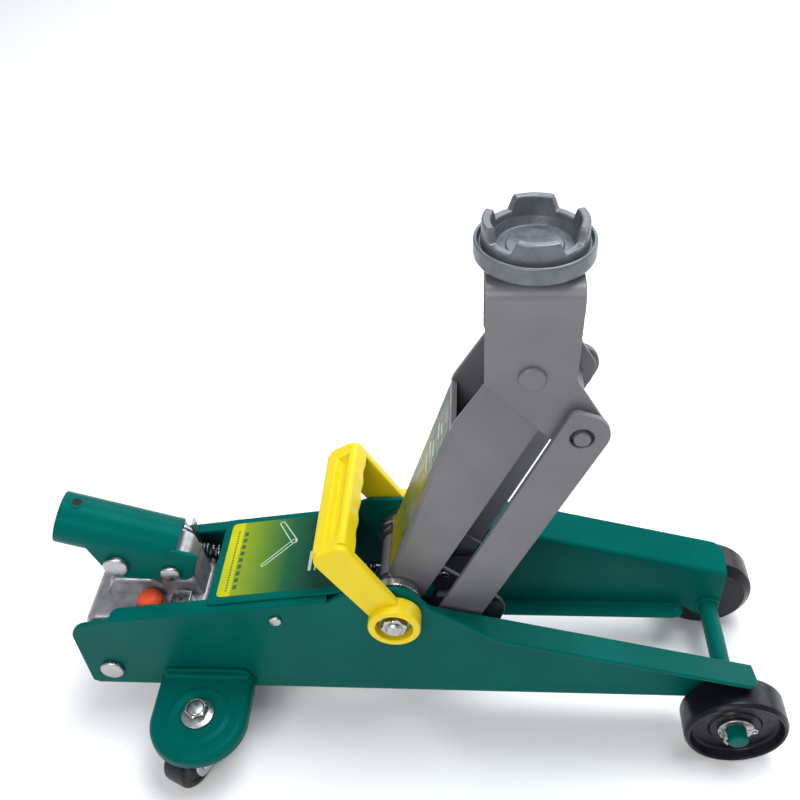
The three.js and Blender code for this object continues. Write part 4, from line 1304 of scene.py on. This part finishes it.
def handle_socket():
    wrapped = loft([[Vector((along, p.x, p.y)) for p in circle(0, 0, radius, 56)] for along, radius in (
        (0.9, SOCKET_INNER), (0.2, SOCKET_INNER + 0.6), (0, SOCKET_INNER + 1), (0, SOCKET_OUTER - 1),
        (0.25, SOCKET_OUTER - 0.3), (1, SOCKET_OUTER), (WRAP - 0.8, SOCKET_OUTER), (WRAP, SOCKET_OUTER - 0.8),
        (WRAP, SOCKET_INNER + 0.6), (WRAP - 0.8, SOCKET_INNER))], closed=True)
    arch = loft([socket_ring(along) for along in (WRAP - 1, SOCKET_LENGTH)])
    lie = Matrix.Rotation(SOCKET_ANGLE, 4, "Y")
    tube_parts = [placed(part, lie, SOCKET_END) for part in (wrapped, arch)]
    back = [(-187, 146.3), (-191.5, 143, 5), (-183, 120, 16), (-170, 112, 8)]
    near = cheek_plate([*back, (-129, 111, 8), (-121.5, 133.5, 4), (-139.5, 138.5, 1.5), (-139.5, 130.2)])
    far = cheek_plate([*back, (-141, 111, 6), (-139.5, 130.2)])
    return combined(*tube_parts, far, mirrored(near))


piece("handle_socket_skin", handle_socket(), green_paint, "handle_socket", ["handle_socket"],
      bevel=0.6)


def in_screw_hole(corners):
    """A turned shape at the threaded hole for the handle's clamp screw, its z pointing outwards."""
    lie = Matrix.Rotation(SOCKET_ANGLE, 4, "Y") @ Matrix.Translation((9.0, 0, SOCKET_OUTER))
    return placed(turned(corners, 32), lie, SOCKET_END)


piece("socket_hole_rim", in_screw_hole([(2.0, -3), (4.1, -0.7, 0.3), (4.5, 0.12, 0.1), (2.4, 0.12, 0.2)]),
      green_paint, "handle_socket")
# A thin black disc over the clamp screw's hole: painted shade for the dark inside of the hole.
piece("socket_hole_painted_shade", in_screw_hole([(0, -1), (3.0, -1), (3.0, 0.16), (0, 0.16)]),
      black_nylon, "handle_socket")
piece("socket_pivot_pin_skin", across(headed_pin(6.3, SOCKET_OUTER + 0.3, 19.4, 5, 0.5), SOCKET_PIVOT),
      zinc_steel, "chassis", ["socket_pivot_pin"])
piece("pump_pin_skin", across(headed_pin(7.8, SOCKET_OUTER + 0.3, 20.4, 6, 0.5), PUMP_PIN), zinc_steel,
      "handle_socket", ["pump_pin"])
CLIP_LOW, CLIP_HIGH = span("stop_clip")
piece("stop_clip_skin", block(tuple(CLIP_LOW), tuple(CLIP_HIGH), 0.3), brushed_steel,
      "chassis", ["stop_clip"])


# ---- carry handle ----
GRIP = Vector((-33.0, 0, 166.0))


def carry_handle():
    reach = (GRIP - PIVOT).length
    half = 12.0
    ring = about_y(turned([
        (8.6, 38.6), (15.8, 38.6, 0.8), (15.8, 50.6, 1.6), (11.2, 50.6, 0.8), (11.2, 42.8, 0.3), (8.6, 42.8),
    ], 64), Vector((0, 0, 0)))
    arm_loop = rounded([(-10.5, 12.5), (10.5, 12.5), (half, reach + 6, 6.5), (-half, reach + 6, 6.5)], 9)
    arm = plate(arm_loop, 0, 6, 1.5, segments=4)
    lean = -1.5 / reach
    leaned = [Vector((p.x, p.y + 39.8 + lean * p.z, p.z)) for p in arm[0]], arm[1]
    rings = []
    low, high = reach - 7, reach + 6
    stations = 72
    for k in range(stations + 1):
        y = -40 + 80 * k / stations
        scallop = 0.4 - 0.4 * math.cos(2 * math.pi * (y + 32) / 16) if abs(y) < 32 else 0
        depth = 4.0 * smooth_step((33.5 - abs(y)) / 2.2)
        section = rounded([
            (-half, low, 2.4), (half - scallop, low + 0.5 * scallop, 2.4), (half, high, 3.0),
            (7.4, high, 0.9), (5.8, high - depth - 0.2, 1.0), (-0.6, high - depth - 0.2, 1.0),
            (-2.2, high, 0.9), (-half, high, 4.2),
        ], chords=5)
        rings.append([upright(p, y) for p in section])
    grip = loft(rings)
    whole = combined(ring, mirrored(ring), leaned, mirrored(leaned), grip)
    tilt = math.atan2(GRIP.x - PIVOT.x, GRIP.z - PIVOT.z)
    return placed(whole, Matrix.Rotation(tilt, 4, "Y"), (PIVOT.x, 0, PIVOT.z))


piece("carry_handle_skin", carry_handle(), yellow_plastic, "carry_handle", ["carry_handle"])


# ---- stage, light and camera ----
def stage():
    look = Look("floor", (0.86, 0.86, 0.87), 0.75)
    look.paint_with(look.blend(look.noise(400, 2), (0.85, 0.85, 0.86), (0.89, 0.89, 0.9)))
    mesh = bpy.data.meshes.new("floor")
    size = 4.0
    corners = [(-size, -size, 0), (size, -size, 0), (size, size, 0), (-size, size, 0)]
    mesh.from_pydata(corners, [], [(0, 1, 2, 3)])
    floor = bpy.data.objects.new("floor", mesh)
    mesh.materials.append(look.material)
    bpy.context.scene.collection.objects.link(floor)


def soft_light(name, position, target, size, watts, colour=(1, 1, 1)):
    data = bpy.data.lights.new(name, "AREA")
    data.shape = "RECTANGLE"
    data.size, data.size_y = size
    data.energy = watts
    data.color = colour
    light = bpy.data.objects.new(name, data)
    light.location = position
    light.rotation_euler = (Vector(target) - Vector(position)).to_track_quat("-Z", "Y").to_euler()
    bpy.context.scene.collection.objects.link(light)


def studio():
    world = bpy.data.worlds.new("studio")
    bpy.context.scene.world = world
    world.use_nodes = True
    background = world.node_tree.nodes["Background"]
    background.inputs["Color"].default_value = (0.93, 0.96, 1, 1)
    background.inputs["Strength"].default_value = 0.5
    soft_light("overhead", (0.3, 0.25, 1.5), (0.05, 0, 0.1), (0.9, 0.7), 21, (0.93, 0.98, 1))
    soft_light("front_fill", (-0.4, -1.3, 1.2), (0, 0, 0.12), (0.9, 0.7), 16, (1, 0.98, 0.96))
    soft_light("backdrop", (0.2, 1.7, 1.3), (0.1, 1.3, 0), (1.6, 1.0), 14)
    soft_light("rim", (1.3, 0.9, 0.7), (0.05, 0, 0.15), (0.8, 0.8), 7, (0.95, 0.98, 1))


def camera():
    """The photograph's viewing angle: from above the right-hand side, turned a little to the rear."""
    pan, pitch, roll = (math.radians(angle) for angle in (-5.64, 40.10, -3.53))
    forward = Vector((math.sin(pan) * math.cos(pitch), math.cos(pan) * math.cos(pitch), -math.sin(pitch)))
    right = Vector((math.cos(pan), -math.sin(pan), 0))
    up = right.cross(forward)
    turned_right = right * math.cos(roll) + up * math.sin(roll)
    turned_up = up * math.cos(roll) - right * math.sin(roll)
    data = bpy.data.cameras.new("camera")
    data.lens = 43.04
    data.sensor_width = 36
    data.clip_end = 50
    made = bpy.data.objects.new("camera", data)
    axes = Matrix((turned_right, turned_up, -forward)).transposed().to_4x4()
    made.matrix_world = Matrix.Translation((0.0322, -0.3915, 0.5775)) @ axes
    bpy.context.scene.collection.objects.link(made)
    bpy.context.scene.camera = made


stage()
studio()
camera()
bpy.context.scene.view_settings.view_transform = "Standard"
